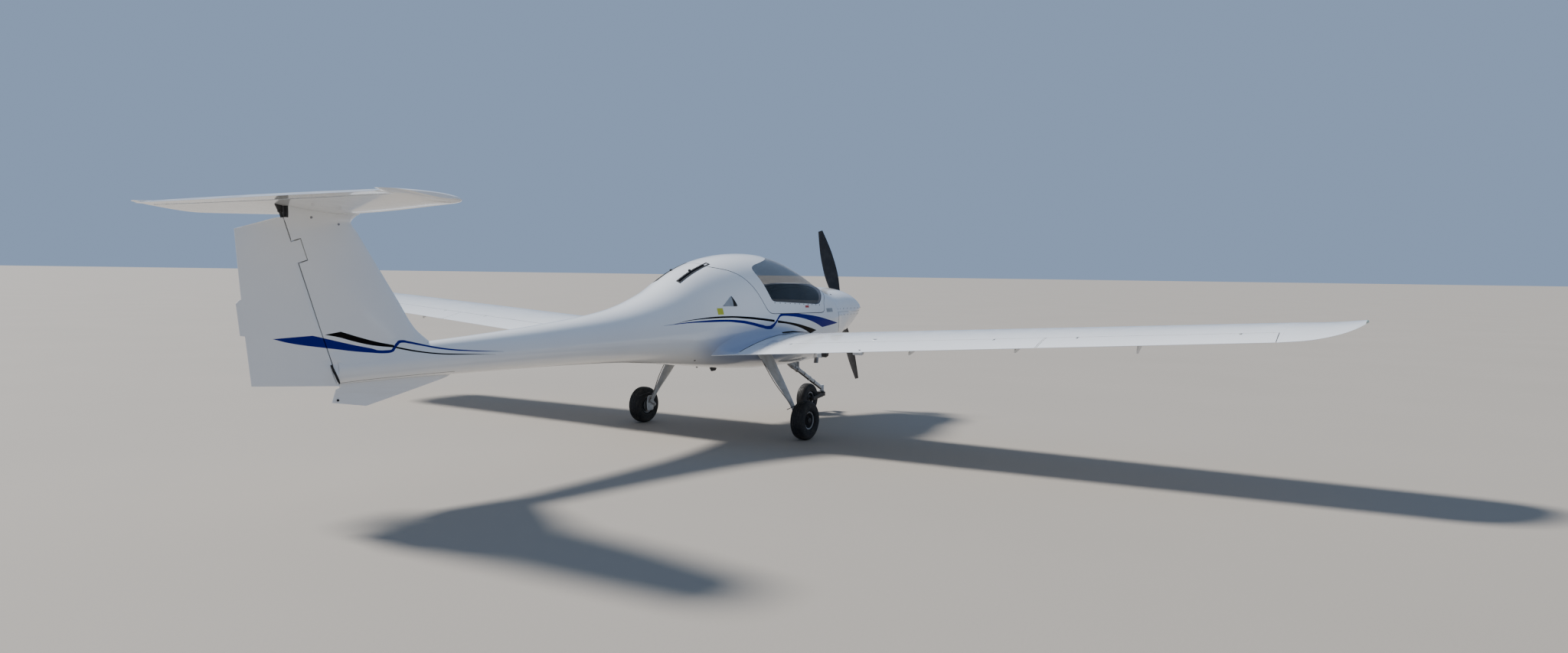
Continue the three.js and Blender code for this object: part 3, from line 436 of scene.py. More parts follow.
def dressed(
    body: Body,
    name: str,
    material: Material | None,
    rides: str = AIRFRAME,
    stands_for: tuple[str, ...] = (),
) -> Body:
    """Names a finished piece, gives it its finish and hands it to the frame.

    Args:
        body: the finished object.
        name: the piece's name.
        material: its finish, or None where its faces already have theirs.
        rides: the body that it moves with.
        stands_for: the frame's nodes that it stands for.

    Returns:
        The same object.
    """
    body.name = name
    body.data.name = name
    if material is not None:
        body.data.materials.clear()
        body.data.materials.append(material)
    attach(body, rides)
    if stands_for:
        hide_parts(*stands_for)
    LOG.info("%s rides on %s, %d faces", name, rides, len(body.data.polygons))
    return body


# Section tables and the curves through them


@dataclass(frozen=True)
class HullRow:
    """One fuselage section in millimetres, with the roundness of its upper and lower half."""

    x: float
    top: float
    base: float
    half: float
    mid: float
    over: float
    under: float


@dataclass(frozen=True)
class FoilRow:
    """One wing or tail section: span place, edges, height and thickness over the chord."""

    y: float
    le: float
    te: float
    z: float
    thick: float


@dataclass(frozen=True)
class FinRow:
    """One level cut of the fin and rudder in millimetres."""

    z: float
    le: float
    te: float
    thick: float


@dataclass(frozen=True)
class BladeRow:
    """One propeller blade section: radius, chord and thickness in millimetres, pitch in degrees."""

    r: float
    chord: float
    thick: float
    pitch: float


def along(rows: Sequence[object], key: str, column: str, at: float) -> float:
    """The value of a table's column at a place, smooth through its rows.

    Args:
        rows: the table, in rising order of the key.
        key: the column that gives the place.
        column: the column that is wanted.
        at: the place.

    Returns:
        The value by a curve that passes through every row.
    """
    last = len(rows) - 1
    i = next((k for k in range(last) if at <= getattr(rows[k + 1], key)), last - 1)

    def slope(k: int) -> float:
        """The rate of change at a row, from its neighbours."""
        a, b = rows[max(k - 1, 0)], rows[min(k + 1, last)]
        return (getattr(b, column) - getattr(a, column)) / (getattr(b, key) - getattr(a, key))

    a, b = rows[i], rows[i + 1]
    step = getattr(b, key) - getattr(a, key)
    t = (at - getattr(a, key)) / step
    ease = t * t * (3 - 2 * t)
    level = getattr(a, column) * (1 - ease) + getattr(b, column) * ease
    return level + step * (t * (1 - t) ** 2 * slope(i) - t * t * (1 - t) * slope(i + 1))


def spread(first: float, last: float, step: float) -> list[float]:
    """Even places from first to last, no further apart than a step."""
    count = max(1, math.ceil((last - first) / step))
    return [first + (last - first) * k / count for k in range(count + 1)]


HULL = (
    HullRow(-2972, 965, 777, 64, 870, 2.0, 2.0),
    HullRow(-2400, 1008, 778, 96, 888, 2.0, 2.0),
    HullRow(-1800, 1048, 777, 132, 905, 2.0, 2.1),
    HullRow(-1100, 1108, 771, 184, 922, 2.0, 2.2),
    HullRow(-400, 1200, 751, 258, 940, 2.0, 2.3),
    HullRow(100, 1344, 715, 352, 958, 2.0, 2.4),
    HullRow(550, 1548, 668, 462, 982, 2.0, 2.4),
    HullRow(950, 1658, 625, 542, 1005, 2.05, 2.5),
    HullRow(1400, 1704, 594, 588, 1020, 2.1, 2.6),
    HullRow(1780, 1682, 586, 598, 1030, 2.1, 2.6),
    HullRow(2080, 1592, 590, 588, 1035, 2.15, 2.6),
    HullRow(2320, 1472, 600, 570, 1040, 2.25, 2.6),
    HullRow(2470, 1402, 612, 554, 1042, 2.4, 2.6),
    HullRow(2640, 1378, 634, 508, 1058, 2.4, 2.25),
    HullRow(2900, 1378, 690, 474, 1106, 2.35, 1.6),
    HullRow(3120, 1364, 775, 446, 1146, 2.05, 1.5),
    HullRow(3260, 1309, 870, 390, 1158, 1.95, 1.5),
    HullRow(3340, 1272, 950, 338, 1162, 1.9, 1.65),
)


def hull_row(x: float) -> HullRow:
    """The fuselage's section at a station, in millimetres."""
    return HullRow(x, *(along(HULL, "x", c, x) for c in ("top", "base", "half", "mid", "over", "under")))


def hull_ring(x: float, inset: float = 0.0, around: int = 96) -> Ring:
    """One fuselage section at x, drawn in by an inset, both in millimetres.

    Args:
        x: the station.
        inset: how far inside the skin.
        around: how many points.

    Returns:
        The section's points, in metres.
    """
    row = hull_row(x)
    ring = []
    for i in range(around):
        angle = i * math.tau / around
        c, s = math.cos(angle), math.sin(angle)
        power = 2 / (row.over if s >= 0 else row.under)
        reach = row.top - inset - row.mid if s >= 0 else row.mid - row.base - inset
        y = (row.half - inset) * math.copysign(abs(c) ** power, c)
        z = row.mid + reach * math.copysign(abs(s) ** power, s)
        ring.append(Vector((x, y, z)) * MM)
    return ring


def hull(name: str, first: float, last: float, inset: float = 0.0, step: float = 60.0) -> Body:
    """The fuselage form between two stations, drawn in by an inset."""
    return loft(name, [hull_ring(x, inset) for x in spread(first, last, step)])


def hull_half(x: float, z: float) -> float:
    """Half the fuselage's width at a station and a height, in millimetres.

    Args:
        x: the station.
        z: the height.

    Returns:
        The half width.
    """
    row = hull_row(x)
    up = z >= row.mid
    reach = row.top - row.mid if up else row.mid - row.base
    power = row.over if up else row.under
    share = min(1.0, abs(z - row.mid) / reach)
    return row.half * (1 - share**power) ** (1 / power)


def hull_height(x: float, y: float, up: bool = True) -> float:
    """The height of the fuselage's upper or lower skin at a station and a width, in millimetres.

    Args:
        x: the station.
        y: the distance from the middle.
        up: the upper skin, not the lower.

    Returns:
        The height.
    """
    row = hull_row(x)
    power = row.over if up else row.under
    share = (1 - min(1.0, abs(y) / row.half) ** power) ** (1 / power)
    return row.mid + share * (row.top - row.mid if up else row.base - row.mid)


def bulge(s: float) -> float:
    """Half the thickness of an aerofoil of chord 1 and thickness 1, at s behind its leading edge."""
    return 5 * (0.2969 * math.sqrt(s) - 0.126 * s - 0.3516 * s**2 + 0.2843 * s**3 - 0.1015 * s**4)


def foil(thick: float, camber: float, steps: int = 26) -> list[Pair]:
    """Points round an aerofoil as (back, up) from its leading edge, for a chord of 1.

    Args:
        thick: the thickness as a share of the chord.
        camber: the rise of its middle line.
        steps: how many pieces each side has.

    Returns:
        The points, from the trailing edge over the top.
    """
    points = []
    for i in range(steps + 1):
        s = 0.5 * (1 + math.cos(math.pi * i / steps))
        points.append((s, camber * 4 * s * (1 - s) + thick * bulge(s)))
    for i in range(1, steps + 1):
        s = 0.5 * (1 - math.cos(math.pi * i / steps))
        points.append((s, camber * 4 * s * (1 - s) - thick * bulge(s)))
    return points


# Finishes


class Shader:
    """One material's node tree, with short ways to add nodes and join them."""

    def __init__(self, name: str) -> None:
        """Makes an empty material with its surface shader."""
        self.material = bpy.data.materials.new(name)
        self.material.use_nodes = True
        self.tree = self.material.node_tree
        self.surface = self.tree.nodes["Principled BSDF"]
        self.place = self.tree.nodes.new("ShaderNodeTexCoord").outputs["Object"]

    def set(self, **values: object) -> None:
        """Sets constants on the surface shader's own sockets, by their names in lower case."""
        for word, value in values.items():
            key = next(s for s in self.surface.inputs if s.name.lower().replace(" ", "_") == word)
            key.default_value = value

    def join(self, output: Socket, socket: str) -> None:
        """Leads an output into one of the surface shader's sockets."""
        self.tree.links.new(output, self.surface.inputs[socket])

    def node(self, kind: str, inputs: dict | None = None, **settings: object) -> bpy.types.Node:
        """Adds a node.

        Args:
            kind: the node's type, without its common prefix.
            inputs: values or outputs for its sockets, by name or number.
            settings: the node's own properties.

        Returns:
            The new node.
        """
        made = self.tree.nodes.new(f"ShaderNode{kind}")
        for word, value in settings.items():
            setattr(made, word, value)
        for key, value in (inputs or {}).items():
            if isinstance(value, Socket):
                self.tree.links.new(value, made.inputs[key])
            else:
                made.inputs[key].default_value = value
        return made

    def maths(self, operation: str, *values: object, clamp: bool = False) -> Socket:
        """A Math node's output."""
        inputs = dict(enumerate(values))
        return self.node("Math", inputs, operation=operation, use_clamp=clamp).outputs[0]

    def noise(
        self, scale: float, detail: float = 4.0, stretch: Point = (1.0, 1.0, 1.0), distortion: float = 0.0
    ) -> Socket:
        """A noise pattern on the piece's own metres, stretched by scaling each axis.

        Args:
            scale: how fine it is.
            detail: how many finer layers it has.
            stretch: the scale along each axis.
            distortion: how much it is bent.

        Returns:
            The pattern.
        """
        mapped = self.node("Mapping", {"Vector": self.place, "Scale": stretch}).outputs[0]
        inputs = {"Vector": mapped, "Scale": scale, "Detail": detail, "Distortion": distortion}
        return self.node("TexNoise", inputs).outputs["Fac"]

    def between(
        self, value: Socket, low: float, high: float, first: float = 0.0, last: float = 1.0
    ) -> Socket:
        """A value taken from one range to another, smoothly and without going past its ends."""
        inputs = {"Value": value, "From Min": low, "From Max": high, "To Min": first, "To Max": last}
        return self.node("MapRange", inputs, interpolation_type="SMOOTHSTEP").outputs["Result"]

    def blend(
        self, factor: Socket | float, first: object, second: object, how: str = "MIX"
    ) -> Socket:
        """Two colours mixed by a factor.

        Args:
            factor: the share of the second colour.
            first: a colour or an output.
            second: a colour or an output.
            how: the way that they are mixed.

        Returns:
            The mixed colour.
        """
        made = self.tree.nodes.new("ShaderNodeMix")
        made.data_type = "RGBA"
        made.blend_type = how
        for socket, value in ((made.inputs[0], factor), (made.inputs[6], first), (made.inputs[7], second)):
            if isinstance(value, Socket):
                self.tree.links.new(value, socket)
            elif socket is made.inputs[0]:
                socket.default_value = value
            else:
                socket.default_value = (*value, 1.0)
        return made.outputs[2]

    def relief(self, height: Socket, distance: float, strength: float = 1.0) -> None:
        """Leads a height into the surface's normal, with its depth in metres."""
        inputs = {"Height": height, "Distance": distance, "Strength": strength}
        self.join(self.node("Bump", inputs).outputs[0], "Normal")

    def axis(self, word: str) -> Socket:
        """One of the piece's own coordinates, in metres."""
        return self.node("SeparateXYZ", {"Vector": self.place}).outputs[word]


CORNER_RUN = 95
CORNER_TURN = math.radians(9)
EDGE_SOFTNESS = 0.0006


@dataclass(frozen=True)
class Band:
    """A painted band on the aircraft's sides, between an upper and a lower edge of (x, z) in millimetres."""

    colour: Colour
    upper: Outline
    lower: Outline

    @staticmethod
    def is_corner(edge: Outline, i: int) -> bool:
        """Whether an edge has a crisp corner at a point: two long straight runs that meet at an angle.

        Args:
            edge: the edge's points.
            i: which of them.

        Returns:
            True at a crisp corner.
        """
        if i in (0, len(edge) - 1):
            return False
        before, after = Vector(edge[i]) - Vector(edge[i - 1]), Vector(edge[i + 1]) - Vector(edge[i])
        return min(before.length, after.length) > CORNER_RUN and before.angle(after) > CORNER_TURN

    def mask(self, shader: Shader, x: Socket, z: Socket) -> Socket:
        """One inside the band and nought outside it.

        Args:
            shader: the material that the band is painted in.
            x: the forward coordinate in metres.
            z: the height in metres.

        Returns:
            The band's mask.
        """
        heights = [point[1] for edge in (self.upper, self.lower) for point in edge]
        low, high = min(heights) - 5, max(heights) + 5
        first, last = self.upper[0][0], self.upper[-1][0]
        share = shader.maths("DIVIDE", shader.maths("SUBTRACT", x, first * MM), (last - first) * MM)
        edges = []
        for edge in (self.upper, self.lower):
            curve = shader.node("FloatCurve", {"Factor": 1.0, "Value": share})
            points = curve.mapping.curves[0].points
            for i, (px, pz) in enumerate(edge):
                at = ((px - first) / (last - first), (pz - low) / (high - low))
                if i < 2:
                    points[i].location = at
                else:
                    points.new(*at)
            for i, point in enumerate(points):
                point.handle_type = "VECTOR" if self.is_corner(edge, i) else "AUTO_CLAMPED"
            curve.mapping.update()
            edges.append(shader.maths("MULTIPLY_ADD", curve.outputs[0], (high - low) * MM, low * MM))
        under = shader.between(shader.maths("SUBTRACT", edges[0], z), -EDGE_SOFTNESS, EDGE_SOFTNESS)
        above = shader.between(shader.maths("SUBTRACT", z, edges[1]), -EDGE_SOFTNESS, EDGE_SOFTNESS)
        started, unfinished = shader.maths("GREATER_THAN", share, 0.0), shader.maths("LESS_THAN", share, 1.0)
        within = shader.maths("MULTIPLY", started, unfinished)
        return shader.maths("MULTIPLY", shader.maths("MULTIPLY", under, above), within)


BLUE = (0.006, 0.010, 0.200)
BLACK = (0.0025, 0.0025, 0.0035)
BANDS = (
    Band(
        BLUE,
        ((-3380, 1083), (-3134, 1094), (-2740, 998), (-2641, 980), (-2605, 980), (-2575, 997), (-2545, 1024),
         (-2508, 1040), (-2450, 1031), (-2367, 1013), (-2150, 968), (-1940, 945), (-1690, 925)),
        ((-3380, 1082), (-3262, 1050), (-3032, 1011), (-2740, 969), (-2626, 960), (-2590, 964), (-2560, 984),
         (-2530, 1010), (-2500, 1022), (-2450, 1015), (-2367, 999), (-2150, 957), (-1940, 938), (-1690, 924)),
    ),
    Band(
        BLACK,
        ((-3053, 1097), (-2948, 1112), (-2796, 1065), (-2680, 1034), (-2585, 1014), (-2566, 1010)),
        ((-3053, 1096), (-2959, 1076), (-2870, 1050), (-2763, 1023), (-2680, 1008), (-2600, 998),
         (-2582, 996)),
    ),
    Band(
        BLACK,
        ((-2556, 1001), (-2500, 988), (-2340, 956), (-2200, 938), (-2097, 930), (-1943, 920), (-1762, 907)),
        ((-2556, 990), (-2500, 976), (-2340, 946), (-2200, 929), (-2097, 922), (-1943, 915), (-1762, 906)),
    ),
    Band(
        BLACK,
        ((57, 1075), (309, 1114), (633, 1132), (844, 1124), (1072, 1104), (1240, 1086)),
        ((57, 1074), (309, 1106), (633, 1116), (844, 1104), (1072, 1083), (1240, 1064)),
    ),
    Band(
        BLUE,
        ((-62, 1063), (302, 1093), (561, 1102), (769, 1093), (911, 1073), (1065, 1043), (1150, 1032),
         (1192, 1040), (1240, 1062), (1290, 1104), (1330, 1134), (1378, 1146), (1488, 1144), (1700, 1130),
         (1940, 1106), (2219, 1064), (2467, 1020)),
        ((-62, 1062), (302, 1081), (561, 1082), (769, 1068), (911, 1046), (1065, 1014), (1172, 1000),
         (1215, 1014), (1262, 1050), (1310, 1095), (1350, 1116), (1382, 1118), (1500, 1112), (1609, 1102),
         (1844, 1062), (2102, 988), (2467, 1019)),
    ),
    Band(
        BLACK,
        ((1286, 1080), (1400, 1066), (1600, 1040), (1809, 1001), (1900, 982), (1978, 964)),
        ((1286, 1056), (1400, 1046), (1521, 1028), (1700, 988), (1859, 935), (1978, 963)),
    ),
    Band(
        BLACK,
        ((1330, 968), (1480, 972), (1640, 962), (1800, 948), (1930, 938)),
        ((1330, 956), (1480, 956), (1640, 952), (1800, 944), (1930, 937)),
    ),
)


@dataclass(frozen=True)
class WhitePaint:
    """Gloss white paint with faint texture and dirt; on striped skins, a painted sky-blue shade by the wing.
    """

    name: str = "white_paint"
    bands: tuple[Band, ...] = ()
    # Where the painted sky-blue shade by the wing root lies in metres, how strong it is and its colour.
    painted_shade_middle: Pair = (1.06, 0.86)
    painted_shade_half: Pair = (0.86, 0.24)
    painted_shade_strength: float = 0.60
    painted_shade_colour: Colour = (0.006, 0.095, 0.34)

    def build(self) -> Material:
        """The paint as a material, with its painted shade and bands."""
        shader = Shader(self.name)
        drift = shader.noise(1.4, 3.0)
        white = shader.blend(shader.between(drift, 0.35, 0.7), (0.86, 0.87, 0.87), (0.83, 0.84, 0.845))
        grime = shader.noise(5.0, 6.0, (0.35, 3.0, 3.0), 0.6)
        low = shader.between(shader.axis("Z"), 0.95, 0.55)
        smear = shader.maths("MULTIPLY", shader.between(grime, 0.5, 0.8), low)
        colour = shader.blend(shader.maths("MULTIPLY", smear, 0.35), white, (0.60, 0.56, 0.49))
        if self.bands:
            split = shader.node("SeparateXYZ", {"Vector": shader.place}).outputs
            # The sky-blue patch by the wing root is painted shade of the shadowed, sky-lit hull, on both
            # sides alike.
            squares = []
            for word, middle, half in zip("XZ", self.painted_shade_middle, self.painted_shade_half):
                share = shader.maths("DIVIDE", shader.maths("SUBTRACT", split[word], middle), half)
                squares.append(shader.maths("POWER", share, 2.0))
            painted_shade = shader.between(shader.maths("ADD", *squares), 1.0, 0.20, 0.0, self.painted_shade_strength)
            colour = shader.blend(painted_shade, colour, self.painted_shade_colour)
            painted = None
            for band in self.bands:
                mask = band.mask(shader, split["X"], split["Z"])
                colour = shader.blend(mask, colour, band.colour)
                painted = mask if painted is None else shader.maths("MAXIMUM", painted, mask)
            shader.join(shader.maths("MULTIPLY_ADD", painted, -0.5, 0.5), "Coat Weight")
            shader.join(shader.maths("MULTIPLY_ADD", painted, -0.45, 0.5), "Specular IOR Level")
        else:
            shader.set(coat_weight=0.5)
        shader.join(colour, "Base Color")
        shader.join(shader.between(shader.noise(9.0, 5.0), 0.3, 0.75, 0.10, 0.2), "Roughness")
        skin = shader.noise(260.0, 2.0)
        wave = shader.maths("MULTIPLY_ADD", shader.noise(4.0, 1.0), 6.0, skin)
        shader.relief(wave, 0.00012, 0.5)
        shader.set(ior=1.5, coat_roughness=0.04)
        return shader.material


@dataclass(frozen=True)
class PlainFinish:
    """A painted or moulded surface with fine grain, wear and dust over one colour."""

    name: str
    colour: Colour
    worn: Colour
    roughness: Pair = (0.4, 0.6)
    metallic: float = 0.0
    grain: float = 600.0
    depth: float = 0.0001
    stretch: Point = (1.0, 1.0, 1.0)
    coat: float = 0.0

    def build(self) -> Material:
        """The finish as a material."""
        shader = Shader(self.name)
        fine = shader.noise(self.grain, 3.0, self.stretch)
        patch = shader.noise(14.0, 5.0)
        mixed = shader.blend(shader.between(patch, 0.42, 0.72), self.colour, self.worn)
        shader.join(mixed, "Base Color")
        low, high = self.roughness
        shader.join(shader.between(shader.noise(30.0, 4.0), 0.3, 0.7, low, high), "Roughness")
        shader.relief(fine, self.depth, 0.6)
        shader.set(metallic=self.metallic, coat_weight=self.coat)
        return shader.material


@dataclass(frozen=True)
class TyreRubber:
    """Dull black tyre rubber, dusty in patches and most of all near the ground."""

    name: str = "tyre_rubber"

    def build(self) -> Material:
        """The rubber as a material."""
        shader = Shader(self.name)
        dust = shader.between(shader.noise(22.0, 6.0), 0.45, 0.75)
        low = shader.between(shader.axis("Z"), 0.09, 0.0)
        amount = shader.maths("MULTIPLY_ADD", low, 0.5, shader.maths("MULTIPLY", dust, 0.35), clamp=True)
        shader.join(shader.blend(amount, (0.012, 0.012, 0.013), (0.075, 0.068, 0.058)), "Base Color")
        shader.join(shader.between(shader.noise(60.0, 4.0), 0.3, 0.7, 0.62, 0.85), "Roughness")
        shader.relief(shader.noise(900.0, 3.0), 0.0002, 0.6)
        return shader.material


@dataclass(frozen=True)
class ClearSheet:
    """Clear tinted acrylic or a lamp's lens, with faint haze and a slight waviness."""

    name: str
    tint: Colour
    alpha: float
    roughness: float = 0.03

    def build(self) -> Material:
        """The sheet as a material."""
        shader = Shader(self.name)
        haze = shader.between(shader.noise(6.0, 5.0), 0.35, 0.75)
        pale = tuple(min(1.0, c * 1.8 + 0.01) for c in self.tint)
        shader.join(shader.blend(haze, self.tint, pale), "Base Color")
        shader.join(shader.between(haze, 0.0, 1.0, self.roughness, self.roughness + 0.04), "Roughness")
        shader.relief(shader.noise(1.2, 1.0), 0.0006, 0.2)
        shader.set(alpha=self.alpha, ior=1.45, coat_weight=0.4, coat_roughness=0.02)
        return shader.material


@dataclass(frozen=True)
class SeatCloth:
    """Woven dark grey upholstery with a soft sheen."""

    name: str = "seat_cloth"

    def build(self) -> Material:
        """The cloth as a material."""
        shader = Shader(self.name)
        weave = []
        for turned_by in (0.0, math.pi / 2):
            mapped = shader.node("Mapping", {"Vector": shader.place, "Rotation": (0.3, 0.0, turned_by)})
            wave = shader.node("TexWave", {"Vector": mapped.outputs[0], "Scale": 130.0, "Distortion": 0.6})
            weave.append(wave.outputs["Fac"])
        threads = shader.maths("MAXIMUM", *weave)
        fleck = shader.noise(240.0, 4.0)
        dark = shader.blend(threads, (0.022, 0.026, 0.032), (0.060, 0.066, 0.078))
        shader.join(shader.blend(shader.between(fleck, 0.55, 0.8), dark, (0.10, 0.11, 0.13)), "Base Color")
        shader.relief(threads, 0.0006, 0.7)
        shader.set(roughness=0.92, sheen_weight=0.35, sheen_roughness=0.5)
        return shader.material


@dataclass(frozen=True)
class PaleFloor:
    """A plain pale floor with a little unevenness."""

    name: str = "pale_floor"

    def build(self) -> Material:
        """The floor as a material."""
        shader = Shader(self.name)
        cloud = shader.noise(0.35, 5.0)
        shader.join(shader.blend(cloud, (0.30, 0.272, 0.235), (0.335, 0.302, 0.26)), "Base Color")
        shader.relief(shader.noise(40.0, 4.0), 0.002, 0.3)
        shader.set(roughness=0.85)
        return shader.material


class Paints:
    """Every finish on the aircraft, built once."""

    def __init__(self) -> None:
        """Builds the finishes."""
        self.white = WhitePaint().build()
        self.banded = WhitePaint("banded_paint", BANDS).build()
        self.grey = PlainFinish(
            "leg_grey", (0.56, 0.58, 0.59), (0.44, 0.45, 0.45), (0.3, 0.45), grain=300.0, coat=0.2
        ).build()
        self.black = PlainFinish("satin_black", (0.014, 0.014, 0.015), (0.03, 0.03, 0.031)).build()
        self.blade = PlainFinish(
            "blade_black", (0.009, 0.009, 0.011), (0.02, 0.02, 0.022), (0.32, 0.5),
            grain=160.0, stretch=(1, 1, 0.1),
        ).build()
        self.alloy = PlainFinish(
            "cast_alloy", (0.47, 0.48, 0.49), (0.30, 0.30, 0.30), (0.35, 0.6), metallic=0.8, depth=0.0003
        ).build()
        self.steel = PlainFinish(
            "dull_steel", (0.30, 0.30, 0.31), (0.17, 0.15, 0.13), (0.3, 0.55), metallic=0.9, stretch=(1, 8, 1)
        ).build()
        self.lining = PlainFinish(
            "grey_moulding", (0.075, 0.085, 0.115), (0.055, 0.06, 0.08), (0.55, 0.75),
            grain=380.0, depth=0.0004,
        ).build()
        self.trim = PlainFinish(
            "cabin_trim", (0.030, 0.040, 0.075), (0.022, 0.028, 0.050), (0.6, 0.85), grain=320.0, depth=0.0004
        ).build()
        # Grey for the blank plate's own colour, and painted shade on the scoop's recessed ramp.
        self.recess = PlainFinish("recess_grey", (0.33, 0.36, 0.39), (0.27, 0.29, 0.31)).build()
        self.dark_moulding = PlainFinish(
            "panel_black", (0.018, 0.018, 0.02), (0.026, 0.026, 0.028), (0.5, 0.7), grain=420.0, depth=0.0004
        ).build()
        # The near-black hub finish is painted shade for the deep inside of each wheel.
        self.hub = PlainFinish("hub_grey", (0.035, 0.036, 0.038), (0.07, 0.068, 0.064), (0.45, 0.7)).build()
        self.engine = PlainFinish(
            "engine_metal", (0.2, 0.2, 0.21), (0.1, 0.1, 0.1), metallic=0.5, depth=0.0006
        ).build()
        self.rubber = TyreRubber().build()
        self.glass = ClearSheet("canopy_acrylic", (0.020, 0.028, 0.034), 0.30).build()
        self.lens = ClearSheet("lamp_lens", (0.35, 0.5, 0.42), 0.6, 0.08).build()
        self.cloth = SeatCloth().build()
        self.yellow = PlainFinish("plate_yellow", (0.50, 0.52, 0.03), (0.40, 0.42, 0.03), (0.3, 0.4)).build()
        self.red = PlainFinish("mark_red", (0.42, 0.03, 0.03), (0.34, 0.03, 0.03), (0.35, 0.5)).build()
        # Dark for joints, seams and dials, and painted shadow where it stands for the scoop's open mouth.
        self.gap = PlainFinish("gap_dark", (0.010, 0.010, 0.011), (0.016, 0.016, 0.017), (0.7, 0.9)).build()


# Fuselage, canopy and cowling

FIREWALL_X = 2490
CABIN_REAR_X = 430
TAIL_END_X = -2972
SKIN = 30
WALL = 12
CLEAR = 0.3
PIVOT = (470, 1418)
ARM_Y = 132
SLOT = (345, 900)

CANOPY_EDGE = (
    (706, 1900), (712, 1572), (800, 1556), (890, 1535), (978, 1482), (1048, 1384), (1101, 1268),
    (1152, 1172), (1205, 1142), (2120, 1134), (2166, 1156), (2186, 1236), (2290, 1300), (2466, 1400),
    (2560, 1450), (2560, 1900),
)
GLASS_EDGE = (
    (1800, 1900), (1640, 1668), (1250, 1594), (1190, 1570), (1168, 1540), (1185, 1460), (1215, 1340),
    (1236, 1276), (1262, 1254), (2050, 1218), (2112, 1240), (2270, 1345), (2410, 1424), (2560, 1490),
    (2560, 1900),
)


def grown(outline: Outline, by: float) -> list[Pair]:
    """An outline moved outwards by a distance, or inwards when it is negative, in millimetres.

    Args:
        outline: the corners, in order.
        by: the distance.

    Returns:
        The moved corners.
    """
    moved = []
    count = len(outline)
    for i, (x, z) in enumerate(outline):
        before, after = Vector(outline[i - 1]), Vector(outline[(i + 1) % count])
        here = Vector((x, z))
        u, v = (here - before).normalized(), (after - here).normalized()
        normal = Vector((u.y + v.y, -(u.x + v.x))).normalized()
        stretch = by / max(0.5, normal.dot(Vector((u.y, -u.x))))
        moved.append(tuple(here + normal * stretch))
    return moved


def eased(outline: Outline, radius: float, steps: int = 5) -> list[Pair]:
    """An outline with each corner replaced by a short arc, for smooth panel edges.

    Args:
        outline: the corners, in order.
        radius: how far the arc starts from its corner, in millimetres.
        steps: how many pieces the arc has.

    Returns:
        The corners and the points of their arcs.
    """
    points = []
    count = len(outline)
    for i, corner in enumerate(outline):
        here = Vector(corner)
        before, after = Vector(outline[i - 1]), Vector(outline[(i + 1) % count])
        back = min(radius, (before - here).length * 0.45)
        on = min(radius, (after - here).length * 0.45)
        start, end = here + (before - here).normalized() * back, here + (after - here).normalized() * on
        for k in range(steps + 1):
            t = k / steps
            points.append(tuple(start * (1 - t) ** 2 + here * 2 * t * (1 - t) + end * t * t))
    return points


def trimmed_inside(
    body: Body, outer: Material, inner: Material, depth: float
) -> Body:
    """Gives a shell one finish outside and another on its inner faces.

    Args:
        body: a shell of the fuselage's form.
        outer: the finish of its outer faces and edges.
        inner: the finish of the faces that look into the cabin.
        depth: how far under the fuselage's skin a face counts as inner, in millimetres.

    Returns:
        The same shell.
    """
    tinted(body, outer).data.materials.append(inner)
    for face in body.data.polygons:
        x, y, z = (c / MM for c in face.center)
        rise = hull_height(x, y) if z > 1000 else -hull_height(x, y, False)
        under = rise - (z if z > 1000 else -z)
        if x > TAIL_END_X + 20 and abs(y) < hull_half(x, z) - depth and under > depth:
            face.material_index = 1
    return body


@dataclass
class Fuselage:
    """The painted shell from the sternpost to the firewall, with its cabin opening and roof slots."""

    paints: Paints
    rudder_space: Callable[[], Body]
    wide: float = 900.0
    boom_rear: float = -2600.0
    bulkhead: float = 20.0

    def shell(self) -> Body:
        """The hollow shell with its canopy opening and the two roof slots."""
        body = hull("fuselage_shell", TAIL_END_X, FIREWALL_X)
        carve(body, plate("t", grown(eased(CANOPY_EDGE, 60), 3), -self.wide, self.wide))
        carve(body, hull("t", CABIN_REAR_X, FIREWALL_X - WALL, SKIN))
        carve(body, hull("t", self.boom_rear, CABIN_REAR_X - self.bulkhead, SKIN, 200))
        for side in Side:
            y = side.value * ARM_Y
            carve(body, box("t", (SLOT[0], y - 17, 1380), (SLOT[1], y + 17, 1800)))
        carve(body, self.rudder_space())
        return smooth(body, 28)

    def build(self) -> None:
        """Builds the shell and dresses it."""
        body = trimmed_inside(self.shell(), self.paints.banded, self.paints.trim, 6)
        dressed(body, "fuselage_shell", None, AIRFRAME, ("fuselage", "tail_boom"))


